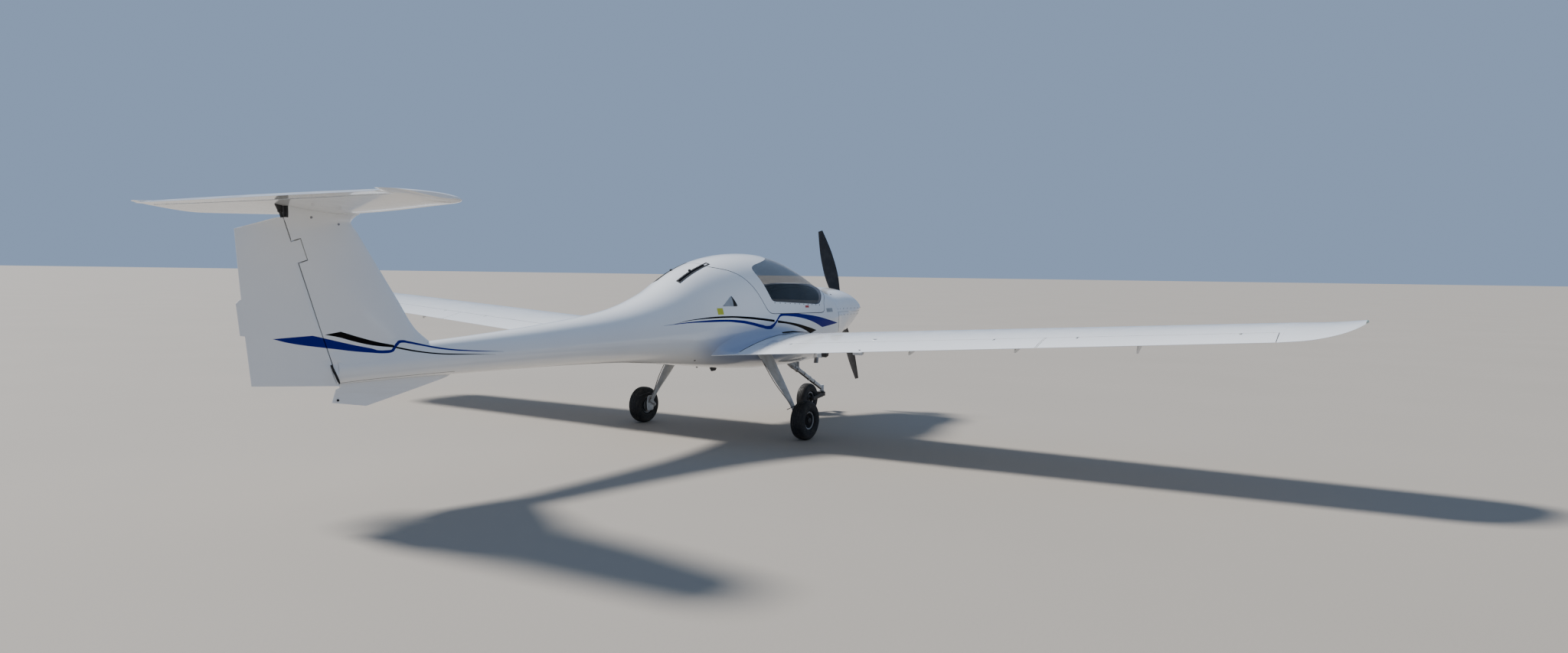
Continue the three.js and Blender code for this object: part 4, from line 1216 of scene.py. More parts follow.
@dataclass
class Canopy:
    """The rear-hinged canopy: its frame with two goose-neck arms, and its clear bubble."""

    paints: Paints
    wide: float = 900.0

    def frame_shell(self) -> Body:
        """The painted frame round the glass, with its arms and hinge pins."""
        edge = grown(eased(CANOPY_EDGE, 60), -3)
        body = hull("canopy_shell", 660, 2560)
        carve(body, hull("t", 620, 2600, SKIN - 6))
        carve(body, plate("t", edge, -self.wide, self.wide), Cut.KEEP)
        carve(body, plate("t", eased(GLASS_EDGE, 50), -self.wide, self.wide))
        for side in Side:
            carve(body, self.arm(side), Cut.ADD)
        return smooth(body, 30)

    def arm(self, side: Side) -> Body:
        """One goose-neck arm, from the hinge pin up to the frame's roof.

        Args:
            side: which side of the aircraft.

        Returns:
            The arm with its pin.
        """
        x, z = PIVOT
        outline = ((x - 17, z - 12), (x + 17, z - 12), (560, 1440), (800, 1540), (800, 1720), (640, 1600),
                   (500, 1520), (x - 17, 1460))
        y = side.value * ARM_Y
        arm = plate("arm", eased(outline, 30), y - 9, y + 9)
        carve(arm, hull("t", 400, 2600, 12), Cut.KEEP)
        carve(arm, rod("t", (x, y - 28, z), (x, y + 28, z), 8), Cut.ADD)
        return arm

    def bubble(self) -> Body:
        """The clear sheet, drawn in slightly from the frame's surface."""
        pane = hull("canopy_bubble", 900, 2560, 3)
        carve(pane, hull("t", 860, 2600, 9))
        carve(pane, plate("t", grown(eased(GLASS_EDGE, 50), -1), -self.wide, self.wide), Cut.KEEP)
        return smooth(pane, 40)

    def build(self) -> None:
        """Builds the frame and the bubble."""
        frame_body = trimmed_inside(self.frame_shell(), self.paints.white, self.paints.trim, 6)
        dressed(frame_body, "canopy_shell", None, "canopy", ("canopy_frame",))
        dressed(self.bubble(), "canopy_bubble", self.paints.glass, "canopy", ("canopy_glass",))


@dataclass(frozen=True)
class Inlet:
    """One air inlet in the cowling's nose, in millimetres."""

    y: float
    z: float
    wide: float
    high: float


@dataclass
class Cowling:
    """The engine cowling in two halves, split at the photograph's seam, with its inlets."""

    paints: Paints
    front: float = 3340.0
    wall: float = 7.0
    split: float = 1128.0
    shaft_z: float = 1180.0
    inlets: tuple[Inlet, ...] = (
        Inlet(-215, 1150, 120, 84),
        Inlet(215, 1150, 120, 84),
        Inlet(0, 975, 250, 74),
    )

    def shell(self) -> Body:
        """The whole hollow cowling with its holes."""
        rear = FIREWALL_X + 1.5
        body = hull("cowling", rear, self.front, 0, 30)
        carve(body, hull("t", rear - 30, self.front - 14, self.wall, 30))
        for inlet in self.inlets:
            hole = rod("t", (3200, 0, 0), (3460, 0, 0), 1000, segments=64)
            hole.data.transform(Matrix.Diagonal((1, inlet.wide / 2000, inlet.high / 2000, 1)))
            hole.data.transform(Matrix.Translation(Vector((0, inlet.y, inlet.z)) * MM))
            carve(body, hole)
        carve(body, rod("t", (3280, 0, self.shaft_z), (3400, 0, self.shaft_z), 74))
        carve(body, box("t", (rear - 10, -150, 560), (2570, 150, 700)))
        carve(body, rod("t", (2800, -150, 955), (2700, -160, 540), 34))
        return body

    def build(self) -> None:
        """Splits the shell into its halves and dresses them."""
        lower = self.shell()
        upper = copied(lower, "cowling_top")
        gap = 1.2
        carve(upper, box("t", (2000, -900, self.split + gap), (3600, 900, 2000)), Cut.KEEP)
        carve(lower, box("t", (2000, -900, 0), (3600, 900, self.split - gap)), Cut.KEEP)
        dressed(smooth(upper, 28), "cowling_top", self.paints.white, AIRFRAME, ("cowling_upper",))
        dressed(smooth(lower, 28), "cowling_bottom", self.paints.white, AIRFRAME, ("cowling_lower",))


# Wings and tail


@dataclass(frozen=True)
class Lug:
    """Sizes of one hinge lug in millimetres."""

    width: float = 7.0
    round: float = 8.0
    pin: float = 3.5
    hole: float = 4.15
    slot: float = 18.0
    behind: float = 17.0


@dataclass(frozen=True)
class Hinge:
    """A hinge line from a to b in millimetres, with the surface's half thickness at both ends."""

    a: Point
    b: Point
    half_a: float
    half_b: float
    start: float
    end: float
    reach: float
    lugs: tuple[float, ...]
    horns: tuple[tuple[float, float, float], ...] = ()
    clear: float = 5.5
    end_clear: float = 7.0
    growth: float = 1.25
    slot_up: float = 0.68
    slot_down: float = 0.68
    tall: float = 300.0

    def place(self) -> Matrix:
        """The matrix that carries X forward, Y along the hinge and Z up into place."""
        first = Vector(self.a)
        axis = (Vector(self.b) - first).normalized()
        up = Vector((1, 0, 0)).cross(axis).normalized()
        forward = axis.cross(up)
        turn = Matrix((forward, axis, up)).transposed().to_4x4()
        return Matrix.Translation(first * MM) @ turn

    def radius(self, s: float) -> float:
        """The moving nose's radius at a distance along the hinge."""
        run = (Vector(self.b) - Vector(self.a)).length
        return self.growth * (self.half_a + (self.half_b - self.half_a) * s / run)

    def space(self) -> Body:
        """The room that the fixed part leaves for the moving one."""
        put = self.place()
        low, high = self.start - self.end_clear, self.end + self.end_clear
        room = box("space", (-self.reach, low, -self.tall), (0, high, self.tall), put)
        nose = (self.radius(low) + self.clear, self.radius(high) + self.clear)
        carve(room, rod("t", (0, low, 0), (0, high, 0), nose[0], nose[1], 64, put), Cut.ADD)
        for first, last, reach in self.horns:
            ends = ((0, first - self.end_clear, 0), (0, last + self.end_clear, 0))
            carve(room, rod("t", *ends, reach + self.clear, None, 96, put), Cut.ADD)
        return room

    def moving(self, full: Body) -> Body:
        """The part of a surface behind the hinge, with its round nose, horns and lug slots.

        Args:
            full: the whole surface, which is kept.

        Returns:
            The moving part.
        """
        put = self.place()
        part = box("moving", (-self.reach, self.start, -self.tall), (0, self.end, self.tall), put)
        ends = ((0, self.start, 0), (0, self.end, 0))
        carve(part, rod("t", *ends, self.radius(self.start), self.radius(self.end), 64, put), Cut.ADD)
        for first, last, reach in self.horns:
            carve(part, rod("t", (0, first, 0), (0, last, 0), reach, None, 96, put), Cut.ADD)
        carve(part, full, Cut.KEEP, keep=True)
        lug = Lug()
        for s in self.lugs:
            r = self.radius(s)
            low = (-lug.behind, s - lug.slot / 2, -self.slot_down * r)
            high = (r + self.clear + 12, s + lug.slot / 2, self.slot_up * r)
            carve(part, box("t", low, high, put))
            carve(part, rod("t", (0, s - lug.slot - 2, 0), (0, s + lug.slot + 2, 0), lug.hole, None, 16, put))
        return part

    def fixed(self, full: Body) -> None:
        """Cuts the room for the moving part out of a surface and adds the lugs.

        Args:
            full: the whole surface, whose mesh changes.
        """
        put = self.place()
        carve(full, self.space())
        lug = Lug()
        for s in self.lugs:
            deep = self.radius(s) + self.clear + 12
            tongue = box("lug", (0, s - lug.width / 2, -lug.round), (deep, s + lug.width / 2, lug.round), put)
            for half, radius, segments in ((lug.width / 2, lug.round, 32), (lug.slot, lug.pin, 16)):
                ends = ((0, s - half, 0), (0, s + half, 0))
                carve(tongue, rod("t", *ends, radius, None, segments, put), Cut.ADD)
            carve(full, tongue, Cut.ADD)


ROOT = FoilRow(380, 1745, 505, 782, 0.15)
BREAK = FoilRow(4950, 1640, 668, 1098, 0.13)
TIP = (
    BREAK,
    FoilRow(5130, 1628, 720, 1118, 0.12),
    FoilRow(5285, 1590, 850, 1155, 0.10),
    FoilRow(5382, 1520, 1030, 1195, 0.085),
    FoilRow(5421, 1440, 1180, 1222, 0.08),
)
WING_RISE = 0.045
WING_CAMBER = 0.022


def wing_ring(row: FoilRow) -> Ring:
    """One wing section.

    Args:
        row: the section's edges, height and thickness.

    Returns:
        Its points, in metres.
    """
    chord = row.le - row.te
    return [
        Vector((row.le - back * chord, row.y, row.z + (1 - back) * WING_RISE * chord + up * chord)) * MM
        for back, up in foil(row.thick, WING_CAMBER)
    ]


def wing_row(y: float) -> FoilRow:
    """The wing's section at a span place, between its root and its tip joint."""
    t = (y - ROOT.y) / (BREAK.y - ROOT.y)
    values = (getattr(ROOT, k) * (1 - t) + getattr(BREAK, k) * t for k in ("y", "le", "te", "z", "thick"))
    return FoilRow(*values)


def wing_skin(x: float, y: float) -> Pair:
    """The heights of the wing's lower and upper skin under a point, in millimetres.

    Args:
        x: the station.
        y: the span place.

    Returns:
        The lower and the upper height.
    """
    row = wing_row(y)
    chord = row.le - row.te
    s = min(1.0, max(0.0, (row.le - x) / chord))
    middle = row.z + (1 - s) * WING_RISE * chord + WING_CAMBER * 4 * s * (1 - s) * chord
    half = row.thick * bulge(s) * chord
    return middle - half, middle + half


@dataclass
class Wing:
    """Both wings with flaps, ailerons, tips and the arms and brackets under them."""

    paints: Paints
    flap: Pair = (640, 3288)
    aileron: Pair = (3300, 4925)
    hinge_x: Pair = (772, 884)
    arms: tuple[tuple[float, float, float], ...] = (
        (1250, 30, 46), (2150, 30, 46), (3050, 30, 46), (3976, 20, 74),
    )

    def hinge_at(self, y: float) -> tuple[Point, float]:
        """The hinge line's point at a span place, and the wing's half thickness there.

        Args:
            y: the span place.

        Returns:
            The point and the half thickness.
        """
        t = (y - ROOT.y) / (BREAK.y - ROOT.y)
        x = self.hinge_x[0] + (self.hinge_x[1] - self.hinge_x[0]) * t
        low, high = wing_skin(x, y)
        return (x, y, (low + high) / 2), (high - low) / 2

    def hinge(self, span: Pair) -> Hinge:
        """The hinge of one surface along the trailing edge.

        Args:
            span: the surface's two ends.

        Returns:
            The hinge.
        """
        (a, half_a), (b, half_b) = self.hinge_at(span[0]), self.hinge_at(span[1])
        run = (Vector(b) - Vector(a)).length
        return Hinge(a, b, half_a, half_b, 3.5, run - 3.5, 420, (run * 0.15, run * 0.85),
                     slot_up=0.95, slot_down=1.35)

    def panel(self) -> Body:
        """The whole left wing before its surfaces are cut."""
        rows = [wing_row(y) for y in spread(ROOT.y, BREAK.y, 300)]
        return loft("wing", [wing_ring(row) for row in rows])

    def bracket(self, y: float, back: float, deep: float) -> Body:
        """One arm under the wing that carries a hinged surface.

        Args:
            y: the span place.
            back: how far it reaches behind the hinge.
            deep: how far it hangs below the wing.

        Returns:
            The arm.
        """
        point, half = self.hinge_at(y)
        top = point[2] - half + 6
        x = point[0] + half * 1.25 + 14
        outline = ((x + 150, top + 4), (x + 40, top - deep * 0.6), (x - back, top - deep),
                   (x - back, top - deep * 0.5), (x + 2, top))
        return rounded(plate("bracket", eased(outline, 12), y - 6, y + 6), 1.5)

    def build(self) -> None:
        """Builds the left wing's pieces, mirrors them and dresses both sides."""
        wing = self.panel()
        pieces = {}
        for name, span in (("flap", self.flap), ("aileron", self.aileron)):
            hinge = self.hinge(span)
            pieces[name] = smooth(hinge.moving(wing), 35)
            hinge.fixed(wing)
        carve(wing, hull("t", 300, 2300, -CLEAR))
        for arm in self.arms:
            carve(wing, self.bracket(*arm), Cut.ADD)
        pieces["wing"] = smooth(wing, 35)
        rows = [FoilRow(y, *(along(TIP, "y", k, y) for k in ("le", "te", "z", "thick")))
                for y in spread(TIP[0].y + 0.4, TIP[-1].y, 24)]
        pieces["wingtip"] = smooth(loft("wingtip", [wing_ring(row) for row in rows]), 50)
        for name, body in pieces.items():
            for side, part in pair(body):
                node = f"{name}_{side.word}"
                rides = node if name in ("flap", "aileron") else AIRFRAME
                dressed(part, f"{node}_skin", self.paints.white, rides, (node,))
        self.housings()
        self.lights()

    def housings(self) -> None:
        """The small housings that hang under each flap, and the cap and button on each wing's upper skin."""
        pale, dark = (self.paints.grey, "leg_paint"), (self.paints.black, "black")
        for name, y, wide, deep, (paint, slot) in (
            ("flap_box", 1450, 44, 38, pale),
            ("flap_box_end", 1494.5, 44, 36, dark),
            ("flap_pad", 1790, 80, 22, pale),
        ):
            low, end = wing_skin(575, y)[0], wing_row(y).z
            outline = ((536, end + 2), (590, low + 5), (582, end - deep * 0.7), (544, end - deep))
            body = smooth(rounded(plate(name, eased(outline, 5), y, y + wide), 2), 35)
            for side, part in pair(body):
                dressed(part, f"{name}_{side.word}", paint, f"flap_{side.word}")
        for name, x, y, radius, (paint, slot), body in (
            ("wing_cap", 920, 1795, 24, pale, AIRFRAME),
            ("flap_button", 600, 1822, 10, dark, "flap"),
        ):
            for side in Side:
                spot = Vector((x, side.value * y, wing_skin(x, y)[1] - 2))
                cap = studs(name, [(spot, Vector((0, 0, 1)))], radius, 5, 32)
                rides = body if body == AIRFRAME else f"{body}_{side.word}"
                dressed(cap, f"{name}_{side.word}", paint, rides)

    def lights(self) -> None:
        """The clear lamps at the wing tips."""
        bm = bmesh.new()
        bmesh.ops.create_uvsphere(bm, u_segments=32, v_segments=20, radius=1.0)
        bmesh.ops.scale(bm, vec=(58 * MM, 14 * MM, 13 * MM), verts=bm.verts)
        bmesh.ops.translate(bm, vec=Vector((1310, TIP[-1].y, 1234)) * MM, verts=bm.verts)
        lens = from_bmesh("lens", bm)
        carve(lens, box("t", (1200, TIP[-1].y + CLEAR, 1100), (1500, 5600, 1400)), Cut.KEEP)
        for side, part in pair(smooth(lens, 50)):
            node = f"tip_light_{side.word}"
            dressed(part, f"tip_lens_{side.word}", self.paints.lens, AIRFRAME, (node,))


@dataclass
class RootFairing:
    """The concave fairing between each wing root and the fuselage side, wide aft and narrow ahead."""

    paints: Paints
    front: float = 1700.0
    rear: float = 508.0
    edge: float = 634.0
    rise: Pair = (205.0, 34.0)

    def outer(self, x: float) -> float:
        """Where the fairing ends on the wing, in millimetres from the middle.

        Args:
            x: the station.

        Returns:
            The distance from the middle.
        """
        beside = hull_half(x, 900)
        t = min(1.0, max(0.0, (x - 1150) / (self.front - 1150)))
        ahead = self.edge + (beside + 24 - self.edge) * t * t * (3 - 2 * t)
        s = min(1.0, max(0.0, (ROOT.te + 30 - x) / (ROOT.te + 30 - self.rear)))
        return ahead + (hull_half(x, 790) + 6 - ahead) * s * s * (3 - 2 * s)

    def rim(self, x: float) -> Vector:
        """The fairing's lowest edge on the wing's upper skin."""
        y = self.outer(x)
        return Vector((x, y, wing_skin(max(x, ROOT.te), y)[1] + 0.6))

    def section(self, x: float) -> Ring:
        """One closed section: the hollow curve, then back along the fuselage's skin.

        Args:
            x: the station.

        Returns:
            The section's points, in metres.
        """
        start = self.rim(x)
        t = (x - self.rear) / (self.front - self.rear)
        lift = self.rise[0] + (self.rise[1] - self.rise[0]) * t**0.8
        tail = min(1.0, (x - self.rear) / 220)
        high = start.z + max(26.0, lift * (0.25 + 0.75 * tail))
        end = Vector((x, hull_half(x, high) - 0.5, high))
        corner = Vector((x, hull_half(x, start.z) + 2, start.z + 3))
        first, second = start.lerp(corner, 0.72), end.lerp(corner, 0.66)
        ring = []
        for k in range(19):
            s = k / 18
            ahead = start * (1 - s) ** 3 + first * 3 * s * (1 - s) ** 2
            ring.append(ahead + second * 3 * s * s * (1 - s) + end * s**3)
        low = start.z - 9
        for k in range(8):
            z = high + (low - high) * k / 7
            ring.append(Vector((x, hull_half(x, z) - 10, z)))
        ring.append(Vector((x, start.y, low)))
        return [point * MM for point in ring]

    def build(self) -> None:
        """Builds the left fairing with its edge seam and mirrors both."""
        body = smooth(loft("fairing", [self.section(x) for x in spread(self.rear, self.front, 26)]), 50)
        path = [self.rim(x) for x in spread(self.rear + 80, self.front, 40)]
        seam = smooth(tube("seam", path, 2.4, 10), 60)
        for side, part in pair(body):
            dressed(part, f"root_fairing_{side.word}", self.paints.banded)
        for side, part in pair(seam):
            dressed(part, f"root_seam_{side.word}", self.paints.gap)


FIN = (
    FinRow(740, -1900, -3500, 105),
    FinRow(1000, -2215, -3528, 112),
    FinRow(1110, -2355, -3540, 112),
    FinRow(1300, -2488, -3556, 106),
    FinRow(1740, -2790, -3590, 92),
    FinRow(1796, -2832, -3590, 96),
    FinRow(1835, -2802, -3590, 106),
    FinRow(1858, -2764, -3590, 110),
    FinRow(1930, -2740, -3590, 110),
)
STAB = (
    FoilRow(-1330, -3130, -3420, 0, 0.075),
    FoilRow(-1305, -3060, -3500, 0, 0.085),
    FoilRow(-1225, -3010, -3540, 0, 0.10),
    FoilRow(0, -2815, -3572, 0, 0.11),
    FoilRow(1225, -3010, -3540, 0, 0.10),
    FoilRow(1305, -3060, -3500, 0, 0.085),
    FoilRow(1330, -3130, -3420, 0, 0.075),
)


@dataclass
class Tail:
    """The fin, rudder, stabiliser, elevator and the small fin under the tail."""

    paints: Paints
    stab_z: float = 1916.0
    elevator_half: float = 1195.0
    elevator_x: float = -3429.0
    pitch: float = 3.95
    droop: float = 4.9
    low: Pair = (-2994, 800)
    high: Pair = (-3318, 1756)
    horn: tuple[float, float, float] = (1530, 1652, 92)
    rudder_edge: Outline = ((-3700, 822), (-3498, 808), (-2940, 768), (-2940, 1400), (-3200, 1830),
                            (-3330, 1800), (-3700, 1694))
    tab_edge: Outline = ((-3500, 1098), (-3569, 1108), (-3590, 1296), (-3568, 1316), (-3500, 1324))
    keel_edge: Outline = ((-2958, 900), (-2944, 770), (-2984, 662), (-2742, 621), (-2060, 770), (-2060, 900))

    def hinge_x(self, z: float) -> float:
        """The rudder's hinge line at a height."""
        return self.low[0] + (self.high[0] - self.low[0]) * (z - self.low[1]) / (self.high[1] - self.low[1])

    def fin_row(self, z: float) -> FinRow:
        """The fin's section at a height."""
        return FinRow(z, *(along(FIN, "z", k, z) for k in ("le", "te", "thick")))

    def pitched(self, degrees: float) -> Matrix:
        """The matrix that tips a tailplane piece nose down about the elevator's hinge."""
        at = Matrix.Translation(Vector((self.elevator_x, 0, self.stab_z)) * MM)
        return at @ Matrix.Rotation(math.radians(degrees), 4, "Y") @ at.inverted()

    def flare(self, x: float, z: float, half: float, front: float) -> float:
        """Half the fin's thickness where its foot spreads into the rear fuselage, in millimetres.

        Args:
            x: the station.
            z: the height.
            half: the plain fin's half thickness there.
            front: the fin's leading edge at that height.

        Returns:
            The half thickness with the foot's spread.
        """
        hull_here = hull_row(max(TAIL_END_X, x))
        rise = min(1.0, max(0.0, (z - hull_here.mid) / (hull_here.top - hull_here.mid + 55)))
        behind = min(1.0, max(0.0, (front - x) / 220))
        past = max(0.0, 1 - max(0.0, TAIL_END_X - x) / 34)
        spread_in = (1 - rise * rise * (3 - 2 * rise)) * behind * behind * (3 - 2 * behind) * past
        return half + max(0.0, hull_here.half * 0.985 - half) * spread_in

    def rudder_hinge(self) -> Hinge:
        """The rudder's leaning hinge with its horn near the top."""
        halves = []
        for z in (self.low[1], self.high[1]):
            row = self.fin_row(z)
            halves.append(row.thick * bulge((row.le - self.hinge_x(z)) / (row.le - row.te)))
        run = math.hypot(self.high[0] - self.low[0], self.high[1] - self.low[1])
        up = run / (self.high[1] - self.low[1])
        horn = ((self.horn[0] - self.low[1]) * up, (self.horn[1] - self.low[1]) * up, self.horn[2])
        a, b = (self.low[0], 0, self.low[1]), (self.high[0], 0, self.high[1])
        lugs = (0.1 * run, 0.5 * run, 0.72 * run)
        return Hinge(a, b, halves[0], halves[1], -60, run + 120, 900, lugs, (horn,))

    def blade(self) -> Body:
        """The fin and rudder as one closed form."""
        rings = []
        for z in spread(FIN[0].z, FIN[-1].z, 13):
            row = self.fin_row(z)
            chord = row.le - row.te
            ring = []
            for back, up in foil(row.thick / chord, 0, 34):
                x = row.le - back * chord
                ring.append(Vector((x, math.copysign(self.flare(x, z, abs(up) * chord, row.le), up), z)) * MM)
            rings.append(ring)
        return loft("fin", rings)

    def stab_form(self, lift: float = 0.0) -> Body:
        """The stabiliser and elevator as one closed level form.

        Args:
            lift: how far it is raised, in millimetres.

        Returns:
            The closed form.
        """
        tips = (1225, 1258, 1285, 1305, 1316, 1324, 1330)
        places = [*(-y for y in reversed(tips)), *spread(-1100, 1100, 220), *tips]
        rings = []
        for y in places:
            le, te, thick = (along(STAB, "y", k, y) for k in ("le", "te", "thick"))
            chord = le - te
            rings.append([Vector((le - back * chord, y, self.stab_z + lift + up * chord)) * MM
                          for back, up in foil(thick, 0)])
        return loft("stabiliser", rings)

    def elevator_hinge(self) -> Hinge:
        """The elevator's level hinge."""
        row = STAB[4]
        chord = row.le - row.te
        half = row.thick * bulge((row.le - self.elevator_x) / chord) * chord
        side = self.elevator_half
        lugs = tuple(y + side for y in (-1075, -573, 573, 1075))
        return Hinge((self.elevator_x, -side, self.stab_z), (self.elevator_x, side, self.stab_z), half, half,
                     0, 2 * side, 300, lugs, slot_up=4.0, slot_down=4.0)

    def build(self) -> None:
        """Builds the tail's pieces and dresses them."""
        stab = self.stab_form()
        hinge = self.elevator_hinge()
        elevator = hinge.moving(stab)
        elevator.data.transform(self.pitched(-self.droop))
        hinge.fixed(stab)
        stab.data.transform(self.pitched(self.pitch))
        dressed(smooth(elevator, 35), "elevator_skin", self.paints.white, "elevator", ("elevator",))
        dressed(smooth(stab, 35), "stabiliser_skin", self.paints.white, AIRFRAME, ("stabiliser",))
        fin = self.blade()
        hinge = self.rudder_hinge()
        rudder = hinge.moving(fin)
        carve(rudder, plate("t", self.rudder_edge, -300, 300), Cut.KEEP)
        carve(rudder, plate("t", self.tab_edge, -1.2, 1.2), Cut.ADD)
        hinge.fixed(fin)
        carve(fin, box("t", (-4000, -300, self.high[1] - 400), (self.hinge_x(self.high[1]) - 12, 300, 2100)))
        carve(fin, box("t", (-4000, -400, 500), (-1000, 400, 786)))
        carve(fin, box("t", (TAIL_END_X, -400, 500), (-1000, 400, 900)))
        carve(fin, hull("t", TAIL_END_X - CLEAR, 0, -CLEAR))
        below = self.stab_form(-CLEAR)
        above = box("t", (-4000, -1400, self.stab_z), (-2000, 1400, 2200))
        for tool in (below, above):
            tool.data.transform(self.pitched(self.pitch))
            carve(fin, tool)
        carve(fin, box("t", (-3500, -200, 1806), (-3276, 200, 1884)))
        dressed(smooth(fin, 35), "fin_skin", self.paints.banded, AIRFRAME, ("fin",))
        dressed(smooth(rudder, 35), "rudder_skin", self.paints.banded, "rudder", ("rudder",))
        self.keel()
        self.bay()
        self.marks()

    def bay(self) -> None:
        """The open bay above the rudder, with the elevator's push rod, its horn and a light bracket."""
        web = rounded(box("web", (-3284, -36, 1800), (-3277, 36, 1886)), 2)
        horn = plate("horn", eased(((-3340, 1886), (-3296, 1886), (-3290, 1838), (-3312, 1830)), 6), -6, 6)
        pin = rod("pin", (-3308, -16, 1842), (-3308, 16, 1842), 6)
        push = rod("push", (-3308, 0, 1846), (-3290, 0, 1790), 8)
        parts = [smooth(part, 35) for part in (web, rounded(horn, 1.5), pin, push)]
        dressed(joined("bay", parts), "elevator_linkage", self.paints.black)
        bracket = rounded(box("bracket", (-3338, -30, 1766), (-3296, 30, 1800)), 5)
        dressed(smooth(bracket, 35), "rudder_top_bracket", self.paints.white)

    def marks(self) -> None:
        """The fin's fasteners, the rudder foot's seal, the ventral fin's joint and its dark eye."""
        for side in Side:
            s = side.value
            spots = ((-3135, 49, 1813), (-2946, 43, 1780))
            heads = [(Vector((x, s * y, z)), Vector((0, s, 0))) for x, y, z in spots]
            dressed(studs("t", heads, 8, 3, 16), f"fin_fasteners_{side.word}", self.paints.steel)
            route = ((-3012, 40, 905), (-3004, 50, 872), (-2990, 55, 838), (-2974, 52, 806), (-2965, 46, 790))
            seal = tube("t", curve([(x, s * y, z) for x, y, z in route], 6), 7.5, 12)
            dressed(smooth(seal, 60), f"rudder_seal_{side.word}", self.paints.gap)
            line = [(-2962, 786), (-2860, 791), (-2700, 797), (-2500, 800), (-2300, 802), (-2080, 803)]
            joint = seam_on_hull("t", line, side, 1.6)
            dressed(joint, f"ventral_joint_{side.word}", self.paints.gap)
        holes = [(Vector((-2948, s * 9.5, 676)), Vector((0, s, 0))) for s in (-1, 1)]
        dressed(studs("t", holes, 8, 2.5, 20), "tie_down_eye", self.paints.gap)

    def keel(self) -> None:
        """The small fin under the tail."""
        rings = []
        for z, front, half in ((600, -2300, 6), (680, -2250, 12), (830, -1950, 24)):
            chord = front + 3100
            section = foil(2 * half / chord, 0)
            rings.append([Vector((front - back * chord, up * chord, z)) * MM for back, up in section])
        keel = loft("keel", rings)
        carve(keel, plate("t", self.keel_edge, -300, 300), Cut.KEEP)
        carve(keel, hull("t", TAIL_END_X - CLEAR, 0, -CLEAR))
        carve(keel, self.rudder_hinge().space())
        dressed(smooth(keel, 35), "ventral_fin_skin", self.paints.white, AIRFRAME, ("ventral_fin",))


# Small shapes


def tinted(body: Body, material: Material) -> Body:
    """Gives a body one finish."""
    body.data.materials.clear()
    body.data.materials.append(material)
    return body


def curve(points: Sequence[Sequence[float]], steps: int = 8) -> list[Vector]:
    """A smooth path that passes through every given point.

    Args:
        points: the points in millimetres.
        steps: how many pieces lie between two of them.

    Returns:
        The path's points in millimetres.
    """
    given = [Vector(p) for p in points]
    path = []
    for i in range(len(given) - 1):
        a, b = given[i], given[i + 1]
        before = given[i - 1] if i else a * 2 - b
        after = given[i + 2] if i + 2 < len(given) else b * 2 - a
        for k in range(steps):
            t = k / steps
            path.append(
                (a * 2 + (b - before) * t + (before * 2 - a * 5 + b * 4 - after) * t**2
                 + (a * 3 - before - b * 3 + after) * t**3) / 2
            )
    return [*path, given[-1]]


def tube(name: str, path: Sequence[Vector], radius: float, segments: int = 14) -> Body:
    """A round tube of one radius along a path, both in millimetres.

    Args:
        name: the object's name.
        path: the middle line.
        radius: the tube's radius.
        segments: how many sides it has.

    Returns:
        The tube.
    """
    rings = []
    up = Vector((0, 0, 1)) if abs((path[1] - path[0]).normalized().z) < 0.9 else Vector((1, 0, 0))
    for i, point in enumerate(path):
        along_path = (path[min(i + 1, len(path) - 1)] - path[max(i - 1, 0)]).normalized()
        side = along_path.cross(up).normalized()
        up = side.cross(along_path)
        angles = [k * math.tau / segments for k in range(segments)]
        rings.append([(point + (side * math.cos(a) + up * math.sin(a)) * radius) * MM for a in angles])
    return loft(name, rings)


def studs(
    name: str, places: Sequence[tuple[Vector, Vector]], radius: float, height: float, segments: int = 12
) -> Body:
    """Many short round heads standing on a surface.

    Args:
        name: the object's name.
        places: each head's point in millimetres and the direction that it faces.
        radius: the heads' radius.
        height: how far they stand out; their feet go as deep.
        segments: how many sides a head has.

    Returns:
        All the heads in one mesh.
    """
    bm = bmesh.new()
    for point, facing in places:
        turn = facing.to_track_quat("Z", "Y").to_matrix().to_4x4()
        place = Matrix.Translation(point * MM) @ turn
        bmesh.ops.create_cone(bm, cap_ends=True, segments=segments, radius1=radius * MM,
                              radius2=radius * 0.86 * MM, depth=2 * height * MM, matrix=place)
    mesh = bpy.data.meshes.new(name)
    bm.to_mesh(mesh)
    bm.free()
    return make_object(name, mesh)


def on_hull(x: float, z: float, side: Side, proud: float = 0.0) -> tuple[Vector, Vector]:
    """A point on the fuselage's side at a station and a height, and the way it faces.

    Args:
        x: the station in millimetres.
        z: the height in millimetres.
        side: which side of the aircraft.
        proud: how far outside the skin the point lies.

    Returns:
        The point in millimetres and the outward direction.
    """
    half = hull_half(x, z)
    ahead = hull_half(x - 2, z) - hull_half(x + 2, z)
    rise = hull_half(x, z - 2) - hull_half(x, z + 2)
    facing = Vector((ahead, 4.0, rise))
    facing.normalize()
    point = Vector((x, half, z)) + facing * proud
    flip = Vector((1, side.value, 1))
    return point * flip, facing * flip


def seam_on_hull(name: str, points: Sequence[Pair], side: Side, radius: float = 1.8) -> Body:
    """A thin dark joint line laid on the fuselage's side through points of (x, z)."""
    route = curve([(x, 0, z) for x, z in points], 6)
    return smooth(tube(name, [on_hull(p.x, p.z, side, -radius * 0.35)[0] for p in route], radius, 8), 60)


